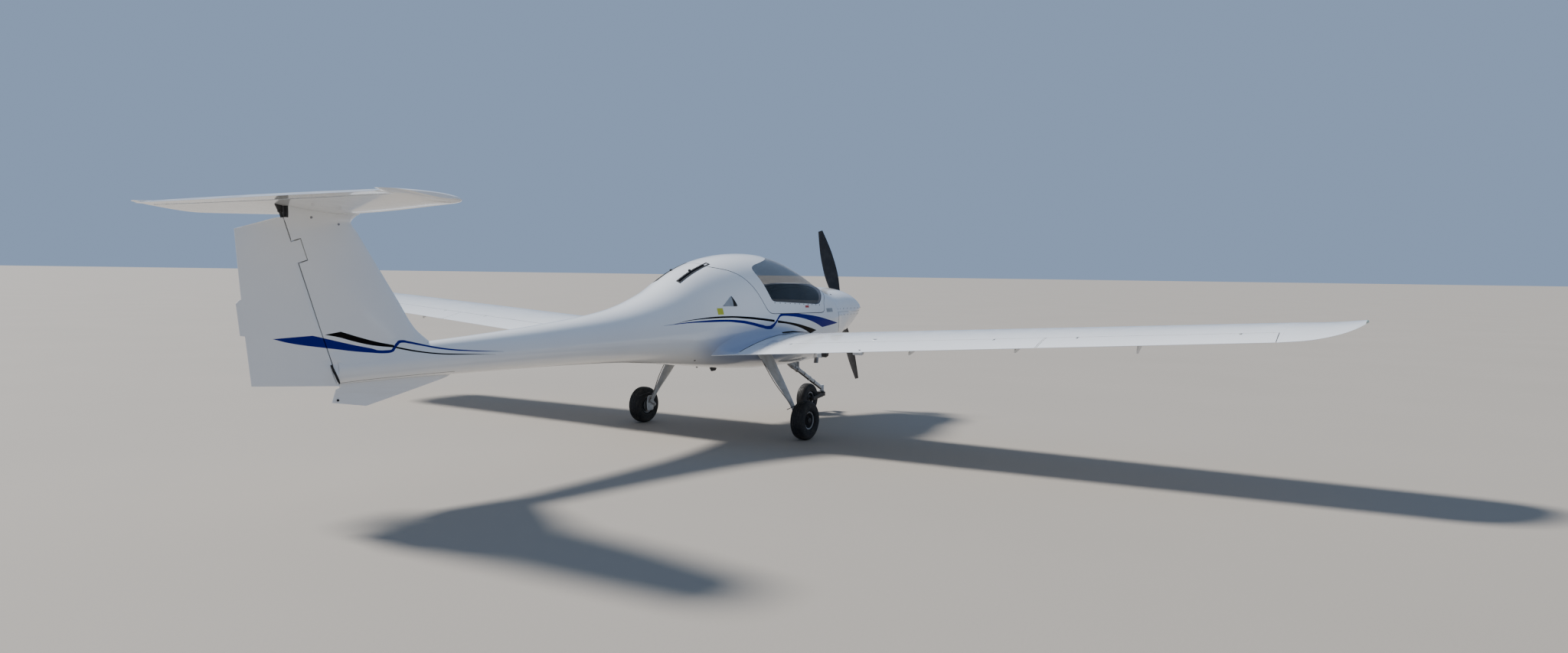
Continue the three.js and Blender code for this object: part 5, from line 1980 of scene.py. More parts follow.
def patch_on_hull(
    name: str, low: Pair, high: Pair, side: Side, proud: float = 1.2
) -> Body:
    """A thin blank plate that follows the fuselage's side between two corners of (x, z).

    Args:
        name: the object's name.
        low: the rear lower corner.
        high: the front upper corner.
        side: which side of the aircraft.
        proud: how far it stands out, in millimetres.

    Returns:
        The plate.
    """
    rings = []
    for x in spread(low[0], high[0], 12):
        faces = [on_hull(x, z, side, proud)[0] for z in spread(low[1], high[1], 12)]
        backs = [on_hull(x, z, side, -1.5)[0] for z in reversed(spread(low[1], high[1], 12))]
        ring = [p * MM for p in (*faces, *backs)]
        rings.append(ring if side is Side.LEFT else ring[::-1])
    return smooth(loft(name, rings), 30)


@dataclass
class Fittings:
    """The small things on the fuselage: scoops, blank plates, screws, seams, aerials and drain points."""

    paints: Paints
    scoop_low: Pair = (600.0, 763.0)
    scoop_top: float = 722.0
    scoop_z: Pair = (1218.0, 1306.0)

    def wedge(self, name: str, side: Side, inner: float, outer: float, proud: Pair) -> Body:
        """A curved three-cornered sheet on the fuselage's side, between two shares of the scoop's width.

        Args:
            name: the object's name.
            side: which side of the aircraft.
            inner: the share where it begins.
            outer: the share where it ends.
            proud: how far its rear and its front edge stand out, in millimetres.

        Returns:
            The sheet.
        """
        low, high = self.scoop_z
        rings = []
        for z in spread(low, high - 1, 6):
            t = (z - low) / (high - low)
            rear = self.scoop_low[0] + (self.scoop_top - self.scoop_low[0]) * t
            front = self.scoop_low[1] + (self.scoop_top + 4 - self.scoop_low[1]) * t**1.5
            first, last = rear + (front - rear) * inner, rear + (front - rear) * outer
            faces = []
            for k in range(9):
                share = k / 8
                out = proud[0] + (proud[1] - proud[0]) * share
                faces.append(on_hull(first + (last - first) * share, z, side, out)[0] * MM)
            backs = [on_hull(first + (last - first) * k / 8, z, side, -3)[0] * MM for k in range(8, -1, -1)]
            ring = [*faces, *backs]
            rings.append(ring[::-1] if side is Side.LEFT else ring)
        return smooth(loft(name, rings), 40)

    def scoops(self, side: Side) -> None:
        """The three-cornered air scoop: ramp in painted grey shade, mouth a dark painted shadow, raised front
        lip.

        Args:
            side: which side of the aircraft.
        """
        # The ramp's grey is painted shade of the recess, on a sheet that stands proud of the skin.
        ramp = self.wedge("t", side, 0.0, 0.8, (0.8, 5.0))
        dressed(ramp, f"scoop_ramp_{side.word}", self.paints.recess)
        # A dark sheet of painted shadow stands for the scoop's open mouth.
        mouth_shadow = self.wedge("t", side, 0.74, 1.0, (6.0, 8.0))
        dressed(mouth_shadow, f"scoop_mouth_{side.word}", self.paints.gap)
        lip = seam_on_hull("t", [(764, 1218), (758, 1250), (744, 1280), (724, 1307)], side, 3.5)
        dressed(lip, f"scoop_lip_{side.word}", self.paints.white)

    def plates(self) -> None:
        """The blank plates on the right side, and the filler cap on the left."""
        for name, low, high, finish, slot in (
            ("filler_plate", (530, 1146), (594, 1202), self.paints.yellow, "paint"),
            ("sill_plate", (1776, 1189), (1842, 1210), self.paints.red, "paint"),
            ("grey_plate", (2215, 1136), (2355, 1174), self.paints.recess, "paint"),
        ):
            dressed(patch_on_hull(name, low, high, Side.RIGHT), name, finish)
        cap = turned("cap", [(0.3, 0), (31, 0), (33, 1), (33, 3), (30, 5), (9, 6), (0.3, 6)],
                     on_hull(640, 1174, Side.LEFT)[0], on_hull(640, 1174, Side.LEFT)[1], 48)
        dressed(smooth(cap, 40), "filler_cap", self.paints.alloy)

    def screws(self, side: Side) -> None:
        """The screws along the canopy's sill, the cowling's joint and the firewall.

        Args:
            side: which side of the aircraft.
        """
        sill, fixed = [], []
        for k in range(11):
            sill.append(on_hull(1275 + k * 80, 1243 - k * 3.2, side, 0.3))
        for k in range(9):
            x = 2520 + k * 95
            fixed.append(on_hull(x, 1160, side, 0.4))
            fixed.append(on_hull(x, 1096, side, 0.4))
        for k in range(6):
            fixed.append(on_hull(2512, 700 + k * 70, side, 0.4))
        dressed(studs("t", sill, 5.5, 1.5), f"sill_screws_{side.word}", self.paints.gap, "canopy")
        dressed(studs("t", fixed, 5.5, 1.5), f"cowl_screws_{side.word}", self.paints.steel)

    def seams(self, side: Side) -> None:
        """The cowling's upright joint, curved at its foot."""
        route = [(2519, 1124), (2516, 1060), (2514, 990), (2524, 945), (2556, 925)]
        upright = seam_on_hull("t", route, side, 2.2)
        dressed(upright, f"cowl_seam_{side.word}", self.paints.gap)

    def dots(self, side: Side) -> None:
        """The small dark ports on the sides."""
        places = [on_hull(725, 846, side, 0.6), on_hull(389, 740, side, 0.6), on_hull(2641, 1307, side, 0.6)]
        dressed(studs("t", places, 9, 2.5, 20), f"ports_{side.word}", self.paints.gap)

    def belly(self) -> None:
        """The blade aerial and the drain stub under the belly."""
        base = hull_height(1050, 0, False)
        outline = ((1000, base + 8), (1120, base + 8), (1090, base - 30), (1030, base - 34))
        fin = rounded(plate("t", eased(outline, 8), -6, 6), 3)
        dressed(smooth(fin, 35), "belly_aerial", self.paints.black)
        drain = (Vector((800, 0, hull_height(800, 0, False) - 1)), Vector((0, 0, -1)))
        dressed(studs("t", [drain], 10, 8, 16), "belly_drains", self.paints.steel)

    def roof(self, side: Side) -> None:
        """The dark lip round the slot that the canopy's arm moves in, and the small knob beside it.

        Args:
            side: which side of the aircraft.
        """
        y = side.value * ARM_Y
        lip = hull("lip", SLOT[0] - 30, SLOT[1] - 60, -2.6, 30)
        carve(lip, hull("t", SLOT[0] - 60, SLOT[1], 3, 30))
        carve(lip, box("t", (SLOT[0] - 3, y - 23, 1300), (782, y + 23, 1900)), Cut.KEEP)
        carve(lip, box("t", (SLOT[0] + 10, y - 10, 1200), (766, y + 10, 2000)))
        dressed(smooth(lip, 30), f"slot_lip_{side.word}", self.paints.gap)
        top = hull_height(539, y)
        beside = y - side.value * 26
        knob = rounded(rod("t", (539, beside, top - 12), (539, beside, top + 24), 12), 5)
        dressed(smooth(knob, 40), f"slot_knob_{side.word}", self.paints.black)

    def build(self) -> None:
        """Builds every fitting."""
        for side in Side:
            self.scoops(side)
            self.screws(side)
            self.seams(side)
            self.dots(side)
            self.roof(side)
        self.plates()
        self.belly()


# Landing gear


@dataclass(frozen=True)
class Wheel:
    """One wheel's place and sizes in millimetres.

    The lip is the flange's place as a share of half the width, and the swell is the roundness of the
    tyre's section.
    """

    x: float
    y: float
    radius: float
    width: float
    rim: float
    grooves: tuple[float, ...]
    holes: int = 6
    bore: float = 16.8
    lip: float = 0.69
    swell: float = 3.1

    @property
    def centre(self) -> Point:
        """The middle of the wheel."""
        return (self.x, self.y, self.radius)

    @property
    def web(self) -> float:
        """The radius of the ring on which the web's holes and bolts lie."""
        return (self.bore + self.rim) / 2 + 3

    def around(self, ring: float, angle: float) -> Pair:
        """The (x, z) of a point on a ring about the axle."""
        return self.x + ring * math.cos(angle), self.radius + ring * math.sin(angle)

    def tyre(self) -> Body:
        """The tyre with its rounded section, tread grooves and bead rings."""
        half = self.width / 2
        middle, reach = (self.rim + self.radius) / 2, (self.radius - self.rim) / 2
        offsets = [half * math.sin(math.pi / 2 * k / 18) for k in range(-18, 19)]
        for groove in self.grooves:
            offsets = [o for o in offsets if abs(o - groove) > 3.0]
            offsets += [groove - 2.4, groove - 2.0, groove + 2.0, groove + 2.4]
        profile = []
        for offset in sorted(offsets):
            rise = (1 - abs(offset / half) ** self.swell) ** (1 / self.swell)
            cut = 4.0 if any(abs(offset - g) < 2.2 for g in self.grooves) else 0.0
            profile.append((middle + reach * rise - cut, offset))
        for k in range(17, -18, -1):
            offset = half * math.sin(math.pi / 2 * k / 18)
            rise = (1 - abs(offset / half) ** self.swell) ** (1 / self.swell)
            profile.append((max(self.rim + 0.6, middle - reach * rise), offset))
        body = turned("tyre", profile, self.centre, (0, 1, 0), 128)
        for side in (-1, 1):
            ring = [(self.rim + 17 + 3 * math.cos(a), side * half * 0.915 + 2.4 * side * math.sin(a))
                    for a in (k * math.tau / 10 for k in range(10))]
            carve(body, turned("t", ring, self.centre, (0, 1, 0), 96), Cut.ADD)
        return smooth(body, 40)

    def hub(self) -> Body:
        """The wheel's barrel, web with holes, and hub."""
        bore, rim = self.bore, self.rim
        shares = [
            (bore, -0.6), (bore + 14, -0.6), (bore + 16, -0.56), (bore + 17, -0.2), (bore + 24, -0.13),
            (rim - 22, -0.13), (rim - 13, -0.2), (rim - 9, -0.56), (rim - 4, -0.66), (rim + 4, -self.lip),
            (rim + 5.4, -0.66), (rim + 4.6, -0.625), (rim + 0.4, -0.6), (rim + 0.4, 0.6), (rim + 4.6, 0.625),
            (rim + 5.4, 0.66), (rim + 4, self.lip), (rim - 4, 0.66), (rim - 9, 0.56), (rim - 13, 0.17),
            (rim - 22, 0.10), (bore + 24, 0.10), (bore + 17, 0.17), (bore + 16, 0.56), (bore + 14, 0.6),
            (bore, 0.6),
        ]
        profile = [(radius, share * self.width / 2) for radius, share in shares]
        body = turned("hub", profile, self.centre, (0, 1, 0), 96)
        for k in range(self.holes):
            x, z = self.around(self.web, k * math.tau / self.holes)
            carve(body, rod("t", (x, self.y - 20, z), (x, self.y + 20, z), 8, segments=24))
        return smooth(body, 35)

    def flange(self) -> Body:
        """The two bright flange rings that hold the tyre, each with its ring of rivets."""
        parts = []
        for way in (-1, 1):
            face = way * self.width / 2 * self.lip
            ring = [(self.rim + 1 + 6.5 * math.cos(a), face + 3.2 * math.sin(a))
                    for a in (k * math.tau / 14 for k in range(14))]
            parts.append(smooth(turned("ring", ring, self.centre, (0, 1, 0), 96), 60))
            heads = []
            for k in range(18):
                x, z = self.around(self.rim + 1, k * math.tau / 18)
                heads.append((Vector((x, self.y + face + way * 3.0, z)), Vector((0, way, 0))))
            parts.append(studs("rivets", heads, 2.4, 1.4, 8))
        return joined("flange", parts)

    def bolts(self) -> Body:
        """The six-sided bolt heads round the web, on both faces."""
        places = []
        for k in range(self.holes):
            x, z = self.around(self.web, (k + 0.5) * math.tau / self.holes)
            for way, out in ((1, 0.10), (-1, 0.13)):
                places.append((Vector((x, self.y + way * out * self.width / 2, z)), Vector((0, way, 0))))
        return studs("bolts", places, 6.0, 5.0, 6)


@dataclass(frozen=True)
class LegRow:
    """One level section of a main leg: its order, place, lead over the axle, chord and thickness."""

    t: float
    y: float
    z: float
    ahead: float
    chord: float
    thick: float


LEG = (
    LegRow(0, 480, 790, 0, 205, 46),
    LegRow(1, 560, 690, 0, 186, 42),
    LegRow(2, 679, 511, 4, 136, 38),
    LegRow(3, 800, 330, 8, 60, 34),
    LegRow(4, 868, 200, 0, 52, 30),
    LegRow(5, 868, 150, 0, 46, 26),
)


@dataclass
class MainGear:
    """Both main wheels on their tapered spring legs, with brakes and brake lines."""

    paints: Paints
    wheel: Wheel = Wheel(1180, 955, 179, 126, 76, (-33, -11, 11, 33))
    foot: float = 872.0

    @property
    def end(self) -> float:
        """How far out the wheel's own hub reaches."""
        return self.wheel.y + self.wheel.width * 0.3

    def leg_ring(self, t: float, grow: float = 0.0) -> Ring:
        """One level section of the leg.

        Args:
            t: the place in the leg's table.
            grow: how far it is swollen, in millimetres.

        Returns:
            The section's points, in metres.
        """
        y, z, ahead, chord, thick = (along(LEG, "t", k, t) for k in ("y", "z", "ahead", "chord", "thick"))
        angles = [k * math.tau / 40 for k in range(40)]
        x = self.wheel.x + ahead
        return [
            Vector((x + (chord / 2 + grow) * math.cos(a), y + (thick / 2 + grow) * math.sin(a), z)) * MM
            for a in angles
        ]

    def leg(self) -> Body:
        """The spring leg with its root collar, axle and flange."""
        x, r = self.wheel.x, self.wheel.radius
        body = loft("leg", [self.leg_ring(t) for t in spread(0, 5, 0.12)])
        places = spread(0.2, 1.3, 0.1)
        swollen = [self.leg_ring(t, 9 * (1 - min(1.0, (t - 0.2) / 1.1)) ** 0.5) for t in places]
        carve(body, loft("t", swollen), Cut.ADD)
        carve(body, hull("t", 300, 2300, -CLEAR))
        under = Wing(self.paints).panel()
        under.data.transform(Matrix.Translation((0, 0, -CLEAR * MM)))
        carve(body, under)
        carve(body, rod("t", (x, self.foot - 12, r), (x, self.end + 8, r), 16), Cut.ADD)
        carve(body, rounded(rod("t", (x, self.end + 1, r), (x, self.end + 12, r), 25), 2), Cut.ADD)
        carve(body, rounded(rod("t", (x, self.foot - 12, r), (x, self.foot + 16, r), 34), 2), Cut.ADD)
        corners = ((-46, -52), (46, -52), (52, 40), (34, 98), (-34, 98), (-52, 40))
        outline = eased([(x + dx, r + dz) for dx, dz in corners], 18)
        flange = plate("t", outline, self.foot - 6, self.foot + 4)
        carve(body, rounded(flange, 1.5), Cut.ADD)
        return smooth(body, 35)

    def brake(self) -> Body:
        """The brake disc that turns with the wheel."""
        half = self.wheel.width / 2
        profile = ((20, 26), (33, 26), (36, 22), (36, 7), (70, 7), (71, 6), (71, 2), (70, 1), (20, 1))
        disc = turned("brake", [(r, offset - half) for r, offset in profile], self.wheel.centre, (0, 1, 0))
        return smooth(disc, 30)

    def caliper(self) -> Body:
        """The brake caliper, bolted to the flange ahead of the axle."""
        x, r = self.wheel.x, self.wheel.radius
        body = rounded(box("caliper", (x + 40, self.foot + 3, r - 26), (x + 78, self.foot + 18, r + 30)), 4)
        piston = rounded(rod("t", (x + 58, self.foot - 16, r + 2), (x + 58, self.foot + 8, r + 2), 17), 3)
        carve(body, piston, Cut.ADD)
        heads = [(Vector((x + 50, self.foot + 3, r + dz)), Vector((0, -1, 0))) for dz in (-18, 22)]
        return joined("caliper", [smooth(body, 35), studs("t", heads, 5, 4, 6)])

    def cap(self) -> Body:
        """The dark cap over the axle's nut, and the slender hose stay inboard of the tyre."""
        x, r = self.wheel.x, self.wheel.radius
        profile = [(0.3, 0), (27, 0), (28, 2), (28, 9), (25, 13), (12, 16), (0.3, 17)]
        shell = turned("cap", profile, (x, self.end + 0.6, r), (0, 1, 0), 48)
        stay = rod("stay", (x - 170, self.foot - 4, r + 108), (x - 8, self.foot - 4, r + 132), 3.5)
        return joined("cap", [smooth(shell, 40), smooth(stay, 40)])

    def line(self) -> Body:
        """The brake line down the rear of the leg, bowed out between the clips that hold it."""
        path, clips = [], []
        for t in spread(0.75, 3.9, 0.35):
            y, z, ahead, chord = (along(LEG, "t", k, t) for k in ("y", "z", "ahead", "chord"))
            bow = 20 * max(0.0, math.sin(math.pi * (t - 0.9) / 2.1)) if t < 3.0 else 0.0
            rear = self.wheel.x + ahead - chord / 2
            path.append((rear - 4.5 - bow, y, z))
            if any(abs(t - at) < 0.2 for at in (0.9, 3.1, 3.6)):
                clips.append(rounded(box("clip", (rear - 9, y - 7, z - 6), (rear + 6, y + 7, z + 6)), 2))
        path += [(self.wheel.x - 30, self.foot - 20, 215), (self.wheel.x + 10, self.foot - 24, 196),
                 (self.wheel.x + 58, self.foot - 14, 182)]
        pipe = tube("line", curve(path, 5), 4.2)
        return joined("line", [smooth(pipe, 60), *(smooth(c, 30) for c in clips)])

    def build(self) -> None:
        """Builds the left gear, mirrors it and dresses both sides."""
        parts = (
            ("tyre", self.wheel.tyre(), self.paints.rubber, "tyre", True, "tyre_main"),
            ("wheel_hub", self.wheel.hub(), self.paints.hub, "alloy", True, "rim_main"),
            ("wheel_flange", self.wheel.flange(), self.paints.alloy, "alloy", True, None),
            ("wheel_bolts", self.wheel.bolts(), self.paints.steel, "steel", True, None),
            ("brake_disc", self.brake(), self.paints.steel, "steel", True, None),
            ("spring_leg", self.leg(), self.paints.grey, "leg_paint", False, "main_leg"),
            ("brake_caliper", self.caliper(), self.paints.alloy, "alloy", False, None),
            ("brake_line", self.line(), self.paints.steel, "steel", False, None),
            ("axle_cap", self.cap(), self.paints.black, "black", False, None),
        )
        for name, body, finish, slot, turns, node in parts:
            for side, part in pair(body):
                rides = f"wheel_{side.word}" if turns else AIRFRAME
                stands_for = (f"{node}_{side.word}",) if node else ()
                dressed(part, f"{name}_{side.word}_shape", finish, rides, stands_for)


@dataclass
class NoseGear:
    """The nose leg, its castering trailing fork and the nose wheel."""

    paints: Paints
    wheel: Wheel = Wheel(2800, 0, 164, 106, 66, (-26, -9, 9, 26))
    pivot_x: float = 3108.0
    pivot_low: float = 160.0
    pivot_high: float = 220.0
    top: Point = (2330, 0, 622)
    foot: Point = (3084, 0, 261)

    def fork(self) -> Body:
        """The trailing fork with its axle, cheeks, bridge and pivot."""
        x, r, p = self.wheel.x, self.wheel.radius, self.pivot_x
        arm_y = self.wheel.width / 2 + 22
        body = rod("fork", (x, -arm_y - 8, r), (x, arm_y + 8, r), 16)
        outline = ((x - 24, r - 19), (x + 24, r - 20), (p - 60, 176), (p - 60, 214), (x + 18, r + 22),
                   (x - 24, r + 19))
        for side in Side:
            y = side.value * arm_y
            carve(body, rounded(plate("t", eased(outline, 14), y - 6, y + 6), 2), Cut.ADD)
            cap = sorted((side.value * (arm_y + 4), side.value * (arm_y + 13)))
            carve(body, rounded(rod("t", (x, cap[0], r), (x, cap[1], r), 15, segments=6), 1.5), Cut.ADD)
        carve(body, rounded(box("t", (p - 84, -arm_y - 6, 172), (p - 50, arm_y + 6, 220)), 6), Cut.ADD)
        carve(body, rounded(box("t", (p - 62, -26, 172), (p, 26, 216)), 6), Cut.ADD)
        carve(body, rounded(rod("t", (p, 0, self.pivot_low), (p, 0, self.pivot_high - 0.4), 32), 5), Cut.ADD)
        carve(body, rod("t", (p, 0, 210), (p, 0, 272), 14), Cut.ADD)
        carve(body, rounded(rod("t", (p, 0, 150), (p, 0, 164), 17, segments=6), 1.5), Cut.ADD)
        return smooth(body, 35)

    def clear_hull(self, body: Body) -> None:
        """Cuts away what would lie inside the fuselage's skin."""
        for first, last in ((2000, 2490), (2480, 2800)):
            carve(body, hull("t", first, last, -CLEAR))

    def collar(self, name: str, share: float, half: float, radius: float, edge: float) -> Body:
        """A short round collar on the leg.

        Args:
            name: the object's name.
            share: its place along the leg, from 0 at the top to 1 at the foot.
            half: half its length in millimetres.
            radius: its radius.
            edge: how far its edges are rounded.

        Returns:
            The collar.
        """
        top, foot = Vector(self.top), Vector(self.foot)
        at, run = top.lerp(foot, share), (foot - top).normalized() * half
        return rounded(rod(name, at - run, at + run, radius), edge)

    def leg(self) -> Body:
        """The slanting tube from the firewall to the pivot."""
        p = self.pivot_x
        body = rod("leg", self.top, self.foot, 24, 22)
        carve(body, rounded(rod("t", (p, 0, self.pivot_high + CLEAR), (p, 0, 286), 27), 3), Cut.ADD)
        carve(body, rod("t", (p, 0, self.pivot_high - 4), (p, 0, 274), 14.6))
        for share in (0.34, 0.66):
            carve(body, self.collar("t", share, 9, 29, 2), Cut.ADD)
        self.clear_hull(body)
        return smooth(body, 35)

    def underside(self) -> Body:
        """The dark strip along the leg's lower face, with the clips that hold it."""
        lower = Vector((0, 0, -9))
        parts = [smooth(rod("strip", Vector(self.top) + lower, Vector(self.foot) + lower, 18.5, 16.5), 40)]
        for share in (0.25, 0.5, 0.78):
            parts.append(smooth(self.collar("clip", share, 5, 25.5, 1), 35))
        strip = joined("strip", parts)
        self.clear_hull(strip)
        return strip

    def brace(self) -> Body:
        """The upright plate between the leg's top and the belly, with its bolt heads."""
        outline = ((2404, 560), (2450, 530), (2560, 486), (2578, 486), (2578, 650), (2404, 650))
        web = rounded(plate("web", eased(outline, 6), -7, 7), 2)
        edge = rounded(box("edge", (2572, -26, 486), (2584, 26, 650)), 2)
        places = [(Vector((2560, s * 7, z)), Vector((0, s, 0))) for s in (-1, 1) for z in (520, 570, 610)]
        return joined("brace", [smooth(web, 35), smooth(edge, 35), studs("heads", places, 6, 4, 6)])

    def strut(self) -> Body:
        """The curved strut behind the leg's top."""
        route = ((2275, -24, 640), (2330, -26, 590), (2400, -26, 545), (2480, -24, 512), (2550, -20, 488))
        path = curve(route, 6)
        pipe = tube("strut", path, 15, 20)
        collar = rounded(rod("t", path[-1] - Vector((14, 0, -6)), path[-1] + Vector((8, 0, -4)), 21), 2)
        return joined("strut", [smooth(pipe, 60), smooth(collar, 35)])

    def build(self) -> None:
        """Builds the nose gear and dresses it."""
        paints, wheel = self.paints, self.wheel
        dressed(wheel.tyre(), "nose_tyre_shape", paints.rubber, "nose_wheel", ("tyre_nose",))
        dressed(wheel.hub(), "nose_hub_shape", paints.hub, "nose_wheel", ("rim_nose",))
        dressed(wheel.flange(), "nose_wheel_flange", paints.alloy, "nose_wheel")
        dressed(wheel.bolts(), "nose_wheel_bolts", paints.steel, "nose_wheel")
        dressed(self.fork(), "nose_fork_shape", paints.black, "nose_fork", ("nose_fork",))
        dressed(self.leg(), "nose_leg_shape", paints.grey, AIRFRAME, ("nose_leg",))
        dressed(self.underside(), "nose_leg_strip", paints.black)
        dressed(self.brace(), "nose_leg_plate", paints.grey)
        dressed(self.strut(), "nose_leg_strut", paints.steel)


# Propeller

BLADE = (
    BladeRow(40, 92, 74, 62),
    BladeRow(150, 112, 46, 46),
    BladeRow(300, 146, 27, 33),
    BladeRow(420, 152, 20, 27),
    BladeRow(600, 134, 14, 22),
    BladeRow(730, 100, 10, 19),
    BladeRow(872, 52, 6, 16),
)


@dataclass
class Propeller:
    """The two-blade propeller and the spinner that turns with it."""

    paints: Paints
    x: float = 3460.0
    z: float = 1180.0
    tilt: float = 17.0
    boss: float = 105.0
    spinner: float = 148.0
    eye: float = 75.5
    tip_x: float = 3590.0

    def blade_ring(self, radius: float, grow: float = 0.0) -> Ring:
        """One twisted blade section.

        Args:
            radius: the distance from the shaft.
            grow: how far it is swollen.

        Returns:
            The section's points, in metres.
        """
        chord, thick, pitch = (along(BLADE, "r", k, radius) for k in ("chord", "thick", "pitch"))
        turn = math.radians(pitch)
        ring = []
        for k in range(40):
            angle = k * math.tau / 40
            a, b = (chord / 2 + grow) * math.cos(angle), (thick / 2 + grow) * math.sin(angle)
            ahead = b * math.cos(turn) + a * math.sin(turn)
            across = b * math.sin(turn) - a * math.cos(turn)
            ring.append(Vector((ahead, across, radius)) * MM)
        return ring

    def blade(self, half: float, grow: float = 0.0) -> Body:
        """One blade, turned from upright as in the photograph.

        Args:
            half: 0 for the upper blade and 180 for the lower one, in degrees.
            grow: how far it is swollen, in millimetres.

        Returns:
            The blade in its place.
        """
        body = loft("blade", [self.blade_ring(r, grow) for r in spread(40, 872, 16)])
        turn = Matrix.Rotation(math.radians(half - self.tilt), 4, "X")
        body.data.transform(Matrix.Translation(Vector((self.x, 0, self.z)) * MM) @ turn)
        return body

    def build(self) -> None:
        """Builds the propeller and spinner and dresses them."""
        low, high = self.x - self.boss / 2, self.x + self.boss / 2
        middle = (0, 0, self.z)
        hub = rod("hub", (low, 0, self.z), (high, 0, self.z), 74)
        room = copied(hub, "room")
        shaft = copied(hub, "shaft")
        for half in (0, 180):
            carve(hub, self.blade(half), Cut.ADD)
            carve(room, self.blade(half, 5), Cut.ADD)
        smooth(hub, 35)
        dressed(hub, "propeller_blades", self.paints.blade, "propeller", ("propeller",))
        r, back = self.spinner, low + 4
        outside = ((1, 0), (1, 12), (0.99, 30), (0.97, 50), (0.92, 78), (0.84, 104), (0.70, 130), (0.53, 151),
                   (0.34, 166), (0.16, 175))
        inside = ((0.3, 158), (0.47, 146), (0.65, 124), (0.79, 98), (0.88, 72), (0.93, 47), (0.96, 6))
        outline = [(r * share, back + ahead) for share, ahead in outside]
        lining = [(r * share, back + ahead) for share, ahead in inside]
        tips = [(0.2, self.tip_x), (0.2, self.tip_x - 10)]
        profile = [(self.eye, back), *outline, *tips, *lining, (self.eye, back + 6)]
        dome = turned("dome", profile, middle, (1, 0, 0), 128)
        carve(room, shaft)
        carve(dome, room)
        dressed(smooth(dome, 30), "spinner_shell", self.paints.white, "propeller", ("spinner",))
        heads = []
        for k in range(12):
            angle = k * math.tau / 12 + 0.2
            facing = Vector((0.05, math.cos(angle), math.sin(angle))).normalized()
            place = Vector((back + 14, (r - 0.6) * math.cos(angle), self.z + (r - 0.6) * math.sin(angle)))
            heads.append((place, facing))
        dressed(studs("t", heads, 4.5, 1.2), "spinner_screws", self.paints.steel, "propeller")


# Cabin and engine


def room_inside(body: Body) -> Body:
    """Trims a body to the room inside the cabin's walls."""
    carve(body, hull("t", CABIN_REAR_X + CLEAR, FIREWALL_X - WALL - CLEAR, SKIN + CLEAR), Cut.KEEP)
    return body


@dataclass(frozen=True)
class Pad:
    """One upholstered cushion, made flat and then set in place."""

    wide: float
    long: float
    thick: float
    crown: float
    seams: tuple[float, ...]
    place: Matrix

    def shape(self, name: str) -> Body:
        """The crowned cushion with its sewn channels, rounded sides and piping.

        Args:
            name: the object's name.

        Returns:
            The cushion in its place.
        """
        bm = bmesh.new()
        bmesh.ops.create_cube(bm, size=2.0)
        bmesh.ops.subdivide_edges(bm, edges=bm.edges, cuts=35, use_grid_fill=True)
        for vert in bm.verts:
            a, b, c = vert.co
            edge = max(abs(a), abs(b))
            swell = (1 - abs(a) ** 4) * (1 - abs(b) ** 4)
            top = self.thick / 2 - self.crown * (1 - swell) if c > -0.5 else -self.thick / 2
            sag = sum(math.exp(-(((b - s) * self.long / 2) / 7) ** 2) for s in self.seams)
            across = math.exp(-(((abs(a) - 0.66) * self.wide / 2) / 7) ** 2)
            dip = min(1.0, sag * (1 if abs(a) < 0.66 else 0) + across) * 9 * max(0.0, 1 - edge**10)
            height = -self.thick / 2 + (c + 1) / 2 * (top + self.thick / 2)
            if c > 0.3:
                height -= dip * (c - 0.3) / 0.7
            round_off = 1 - 0.018 * max(0.0, abs(c) - 0.55) / 0.45
            vert.co = (a * self.wide / 2 * round_off, b * self.long / 2 * round_off, height)
        for _ in range(2):
            bmesh.ops.smooth_vert(
                bm, verts=bm.verts, factor=0.5, use_axis_x=True, use_axis_y=True, use_axis_z=True
            )
        bmesh.ops.scale(bm, vec=(MM, MM, MM), verts=bm.verts)
        bmesh.ops.transform(bm, matrix=self.place, verts=bm.verts)
        return smooth(from_bmesh(name, bm), 70)


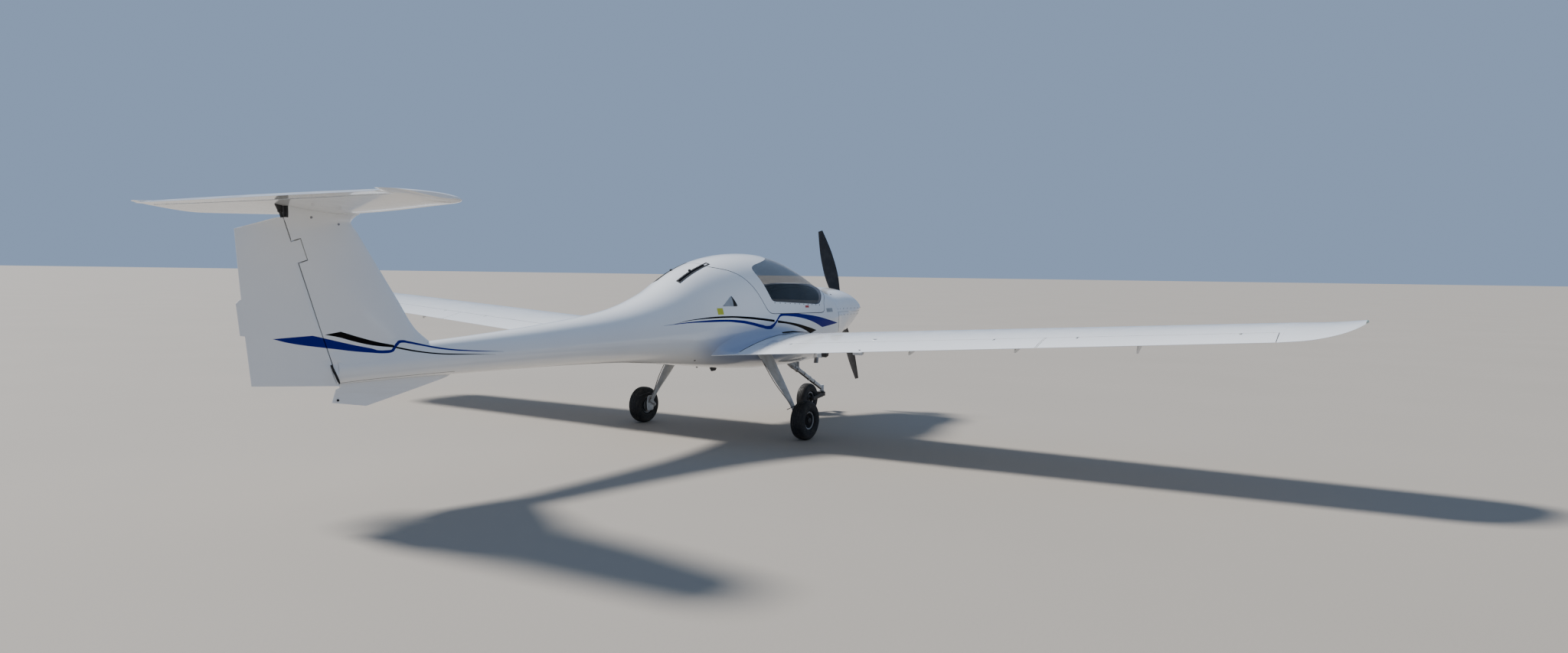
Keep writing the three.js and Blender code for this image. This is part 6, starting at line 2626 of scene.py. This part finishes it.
@dataclass
class Cabin:
    """The seats, sticks, console, instrument panel and pedals inside the cabin."""

    paints: Paints
    seat_y: float = 265.0
    back_slope: Pair = (217, 519)
    pad_fill: float = 0.85
    face: float = 1990.0

    @staticmethod
    def seat_place(x: float, y: float, z: float, tilt: float) -> Matrix:
        """Where a pad's middle lies, in millimetres, and how far it leans back, in radians."""
        leaning = Matrix.Rotation(tilt, 4, "Y") @ Matrix.Rotation(math.pi / 2, 4, "Z")
        return Matrix.Translation(Vector((x, y, z)) * MM) @ leaning

    def seats(self) -> None:
        """The two seats' pads."""
        upright = math.pi / 2 - math.atan2(*self.back_slope)
        for side in Side:
            y = side.value * self.seat_y
            base = self.seat_place(1262, y, 846, math.radians(-3.0))
            back = self.seat_place(935, y, 1140, upright)
            cushion = Pad(440, 470, 92, 14, (-0.35, 0.05, 0.45), base)
            rest = Pad(440, 505, 84, 12, (-0.3, 0.2, 0.62), back)
            for name, pad, node in (("seat_pad", cushion, "seat_cushion"), ("back_pad", rest, "seat_back")):
                body = smooth(room_inside(pad.shape(name)), 70)
                stands_for = (f"{node}_{side.word}",)
                dressed(body, f"{name}_{side.word}", self.paints.cloth, AIRFRAME, stands_for)

    def sticks(self) -> None:
        """The two control sticks with ridged grips and leather boots."""
        for side in Side:
            y = side.value * self.seat_y
            shaft = rod("shaft", (1640, y, 618), (1620, y, 960), 9)
            ridges = ((4, 0), (16, 0), (18, 4), (15, 22), (17, 34), (14.5, 48), (16.5, 60), (14, 74),
                      (16, 88), (18, 100), (15, 110), (4, 112))
            folds = ((10, 0), (62, 0), (60, 8), (46, 14), (48, 22), (34, 28), (36, 36), (22, 44),
                     (24, 52), (13, 60), (9, 62))
            grip = turned("grip", ridges, (1620, y, 950), (-0.19, 0, 1), 40)
            boot = turned("boot", folds, (1638, y, 640), (-0.06, 0, 1), 40)
            body = joined("stick", [smooth(shaft, 40), smooth(grip, 50), smooth(boot, 50)])
            stands_for = (f"stick_{side.word}",)
            dressed(body, f"control_stick_{side.word}", self.paints.black, AIRFRAME, stands_for)

    def furniture(self) -> None:
        """The seat box, the sloping rest behind the seats and the centre console."""
        seat_box = rounded(room_inside(box("b", (985, -700, 500), (1560, 700, 799))), 8)
        dressed(smooth(seat_box, 35), "seat_pan", self.paints.lining, AIRFRAME, ("seat_box",))
        outline = ((910, 600), (950, 600), (994, 884), (772, 1404), (732, 1404), (950, 890))
        rest = room_inside(plate("r", eased(outline, 14), -700, 700))
        dressed(smooth(rest, 35), "seat_bulkhead", self.paints.lining, AIRFRAME, ("seat_rest",))
        console = rounded(room_inside(box("c", (1564, -65, 500), (2000, 65, 922))), 9)
        lever = rod("t", (1800, 18, 915), (1780, 18, 985), 5)
        knob = rounded(rod("t", (1780, 18, 980), (1774, 18, 1004), 13), 4)
        wheel = rounded(rod("t", (1690, -12, 918), (1690, 12, 918), 26), 3)
        parts = [
            tinted(smooth(console, 35), self.paints.lining),
            tinted(smooth(lever, 40), self.paints.steel),
            tinted(smooth(knob, 40), self.paints.black),
            tinted(smooth(wheel, 40), self.paints.black),
        ]
        dressed(joined("console", parts), "tunnel_console", None, AIRFRAME, ("centre_console",))

    def dial(self, y: float, z: float, radius: float) -> list[Body]:
        """One round instrument on the panel.

        Args:
            y: how far left its middle lies, in millimetres.
            z: its height.
            radius: its ring's radius.

        Returns:
            Its ring, face, hand and marks.
        """
        face, inner, reach = self.face, radius - 7, radius - 11
        section = ((inner, 0), (radius, 0), (radius, 5), (radius - 2, 8), (radius - 6, 8), (inner, 5))
        ring = turned("ring", section, (face, y, z), (-1, 0, 0), 48)
        disc = rod("dial", (face - 2, y, z), (face - 1, y, z), inner)
        hand = box("hand", (face - 4, y - 1.2, z - 4), (face - 3, y + 1.2, z + radius * 0.6))
        angles = [k * math.tau / 12 for k in range(12)]
        spots = [Vector((face - 2, y + reach * math.cos(a), z + reach * math.sin(a))) for a in angles]
        marks = studs("m", [(spot, Vector((-1, 0, 0))) for spot in spots], 1.5, 0.8, 6)
        return [
            tinted(smooth(ring, 40), self.paints.black),
            tinted(smooth(disc, 40), self.paints.gap),
            tinted(hand, self.paints.white),
            tinted(marks, self.paints.white),
        ]

    def panel(self) -> None:
        """The instrument panel with its coaming, dials, screens and knobs."""
        face = self.face
        outline = ((face, 935), (2040, 935), (2040, 1170), (2330, 1230), (2330, 1250), (1960, 1222),
                   (1960, 1206), (face, 1200))
        board = room_inside(plate("p", eased(outline, 6), -700, 700))
        parts = [tinted(smooth(board, 35), self.paints.dark_moulding)]
        large = [(y, z, 40) for z in (1135, 1040) for y in (395, 300, 205)]
        small = [(y, z, 30) for z in (1135, 1060) for y in (-395, -320)]
        for y, z, radius in (*large, *small):
            parts += self.dial(y, z, radius)
        for half, base, top in ((120, 1080, 1180), (110, 1000, 1064)):
            low, high = (face - 12, -half, base), (face, half, top)
            screen = rounded(box("s", low, high), 3)
            inner = box("i", (low[0] - 1, low[1] + 14, low[2] + 10), (low[0] + 2, high[1] - 14, high[2] - 10))
            parts += [tinted(smooth(screen, 40), self.paints.black), tinted(inner, self.paints.glass)]
        knobs = [(Vector((face, y, 965)), Vector((-1, 0, 0))) for y in range(-300, 301, 60)]
        parts.append(tinted(studs("k", knobs, 10, 14, 20), self.paints.black))
        dressed(joined("panel", parts), "panel_board", None, AIRFRAME, ("instrument_panel",))

    def pedals(self) -> None:
        """The rudder pedals on their cross bar, with ribbed treads."""
        parts = [smooth(rod("bar", (2330, -420, 690), (2330, 420, 690), 10), 40)]
        for y in (-330, -200, 200, 330):
            tread = rounded(box("t", (2322, y - 35, 700), (2334, y + 35, 860)), 4)
            parts.append(smooth(tread, 35))
            for z in (770, 790, 810, 830):
                parts.append(smooth(rounded(box("r", (2317, y - 30, z - 3), (2324, y + 30, z + 3)), 1.5), 35))
        body = room_inside(joined("pedals", parts))
        dressed(body, "pedal_set", self.paints.steel, AIRFRAME, ("rudder_pedals",))

    def bracket(self) -> None:
        """The canopy's hinge brackets on the rear bulkhead."""
        rear = CABIN_REAR_X + CLEAR
        body = box("bracket", (rear, -180, 1380), (CABIN_REAR_X + 14, 180, 1400))
        outline = ((rear, 1380), (500, 1380), (500, 1420), (484, 1436), (456, 1436), (rear, 1410))
        for side in Side:
            y = side.value * ARM_Y
            for cheek in (y - 22, y + 22):
                carve(body, plate("t", eased(outline, 8), cheek - 4, cheek + 4), Cut.ADD)
            carve(body, rod("t", (PIVOT[0], y - 40, PIVOT[1]), (PIVOT[0], y + 40, PIVOT[1]), 8.7))
        smooth(room_inside(body), 35)
        dressed(body, "hinge_cheeks", self.paints.steel, AIRFRAME, ("canopy_hinge_bracket",))

    def engine(self) -> None:
        """The engine behind the cowling, its exhaust pipe and the firewall."""
        wall = hull("wall", FIREWALL_X - 20, FIREWALL_X + 60, 10)
        carve(wall, box("t", (FIREWALL_X + CLEAR, -700, 500), (FIREWALL_X + 8, 700, 1500)), Cut.KEEP)
        dressed(smooth(wall, 35), "firewall_sheet", self.paints.steel, AIRFRAME, ("firewall",))
        block = rounded(box("block", (2640, -230, 960), (3060, 230, 1225)), 16)
        for side in Side:
            for x in (2760, 2940):
                for k in range(7):
                    y = 234 + k * 13
                    ends = ((x, side.value * y, 1080), (x, side.value * (y + 6), 1080))
                    carve(block, rod("t", *ends, 82 if k < 6 else 70), Cut.ADD)
                carve(block, rod("t", (x, side.value * 220, 1080), (x, side.value * 330, 1080), 62), Cut.ADD)
        for y, z in ((-200, 1010), (200, 1010), (-200, 1200), (200, 1200)):
            carve(block, rod("t", (FIREWALL_X + 8.3, y, z), (2660, y, z), 14), Cut.ADD)
        carve(block, rod("t", (3050, 0, 1180), (3407.2, 0, 1180), 62), Cut.ADD)
        dressed(smooth(block, 35), "engine_case", self.paints.engine, AIRFRAME, ("engine_block",))
        pipe = rod("pipe", (2800, -150, 955), (2700, -160, 540), 24)
        carve(pipe, rod("t", (2760, -154, 789), (2690, -161, 498), 20))
        carve(pipe, box("t", (2600, -400, 959.7), (3300, 400, 1400)))
        carve(pipe, box("t", (2600, -400, 400), (3300, 400, 566)))
        dressed(smooth(pipe, 35), "exhaust_stub", self.paints.steel, AIRFRAME, ("exhaust_pipe",))

    def build(self) -> None:
        """Builds everything inside."""
        self.seats()
        self.sticks()
        self.furniture()
        self.panel()
        self.pedals()
        self.bracket()
        self.engine()


# Studio and camera

@dataclass
class Studio:
    """A plain pale floor, one broad soft light, an even pale surround and the photograph's camera."""

    location: Point = (-7.017, -5.917, 1.501)
    yaw: float = 32.38
    pitch: float = -4.21
    roll: float = 0.77
    lens: float = 24.163
    shift_y: float = 0.01678
    sensor: float = 36.0
    floor_half: float = 3000.0
    light_towards: Point = (0.13, -0.98, -1.0)
    light_angle: float = 9.0
    light_strength: float = 6.8
    light_colour: Colour = (1.0, 0.975, 0.94)
    surround: Colour = (0.48, 0.66, 0.98)
    surround_strength: float = 0.54

    def floor(self) -> None:
        """The ground under the aircraft."""
        bm = bmesh.new()
        bmesh.ops.create_grid(bm, x_segments=8, y_segments=8, size=self.floor_half)
        tinted(from_bmesh("floor", bm), PaleFloor().build())

    def light(self) -> None:
        """The broad main light, with soft-edged shadows."""
        data = bpy.data.lights.new("key", "SUN")
        data.angle = math.radians(self.light_angle)
        data.energy = self.light_strength
        data.color = self.light_colour
        lamp = bpy.data.objects.new("key", data)
        lamp.rotation_euler = Vector(self.light_towards).to_track_quat("-Z", "Y").to_euler()
        bpy.context.scene.collection.objects.link(lamp)

    def world(self) -> None:
        """An even, pale, slightly blue surround."""
        world = bpy.data.worlds.new("pale_surround")
        world.use_nodes = True
        tree = world.node_tree
        sky = tree.nodes["Background"]
        sky.inputs["Color"].default_value = (*self.surround, 1.0)
        sky.inputs["Strength"].default_value = self.surround_strength
        bpy.context.scene.world = world

    def camera(self) -> None:
        """The camera where the photograph was taken."""
        data = bpy.data.cameras.new("camera")
        data.lens = self.lens
        data.sensor_width = self.sensor
        data.shift_y = self.shift_y
        data.clip_end = 6000.0
        yaw, pitch, roll = (math.radians(v) for v in (self.yaw, self.pitch, self.roll))
        ahead = Vector((math.cos(yaw) * math.cos(pitch), math.sin(yaw) * math.cos(pitch), math.sin(pitch)))
        right = Vector((math.sin(yaw), -math.cos(yaw), 0))
        up = right.cross(ahead)
        level = right * math.cos(roll) + up * math.sin(roll)
        rise = up * math.cos(roll) - right * math.sin(roll)
        camera = bpy.data.objects.new("camera", data)
        turn = Matrix((level, rise, -ahead)).transposed().to_4x4()
        camera.matrix_world = Matrix.Translation(self.location) @ turn
        bpy.context.scene.collection.objects.link(camera)
        bpy.context.scene.camera = camera

    def build(self) -> None:
        """Builds the floor, surround, light and camera."""
        self.floor()
        self.world()
        self.light()
        self.camera()


def main() -> None:
    """Builds every piece in order, then hands the scene over."""
    logging.basicConfig(level=logging.INFO, format="%(name)s %(message)s")
    paints = Paints()
    tail = Tail(paints)
    Fuselage(paints, tail.rudder_hinge().space).build()
    Canopy(paints).build()
    Cowling(paints).build()
    Wing(paints).build()
    RootFairing(paints).build()
    tail.build()
    Fittings(paints).build()
    MainGear(paints).build()
    NoseGear(paints).build()
    Propeller(paints).build()
    Cabin(paints).build()
    Studio().build()


if __name__ == "__main__":
    main()
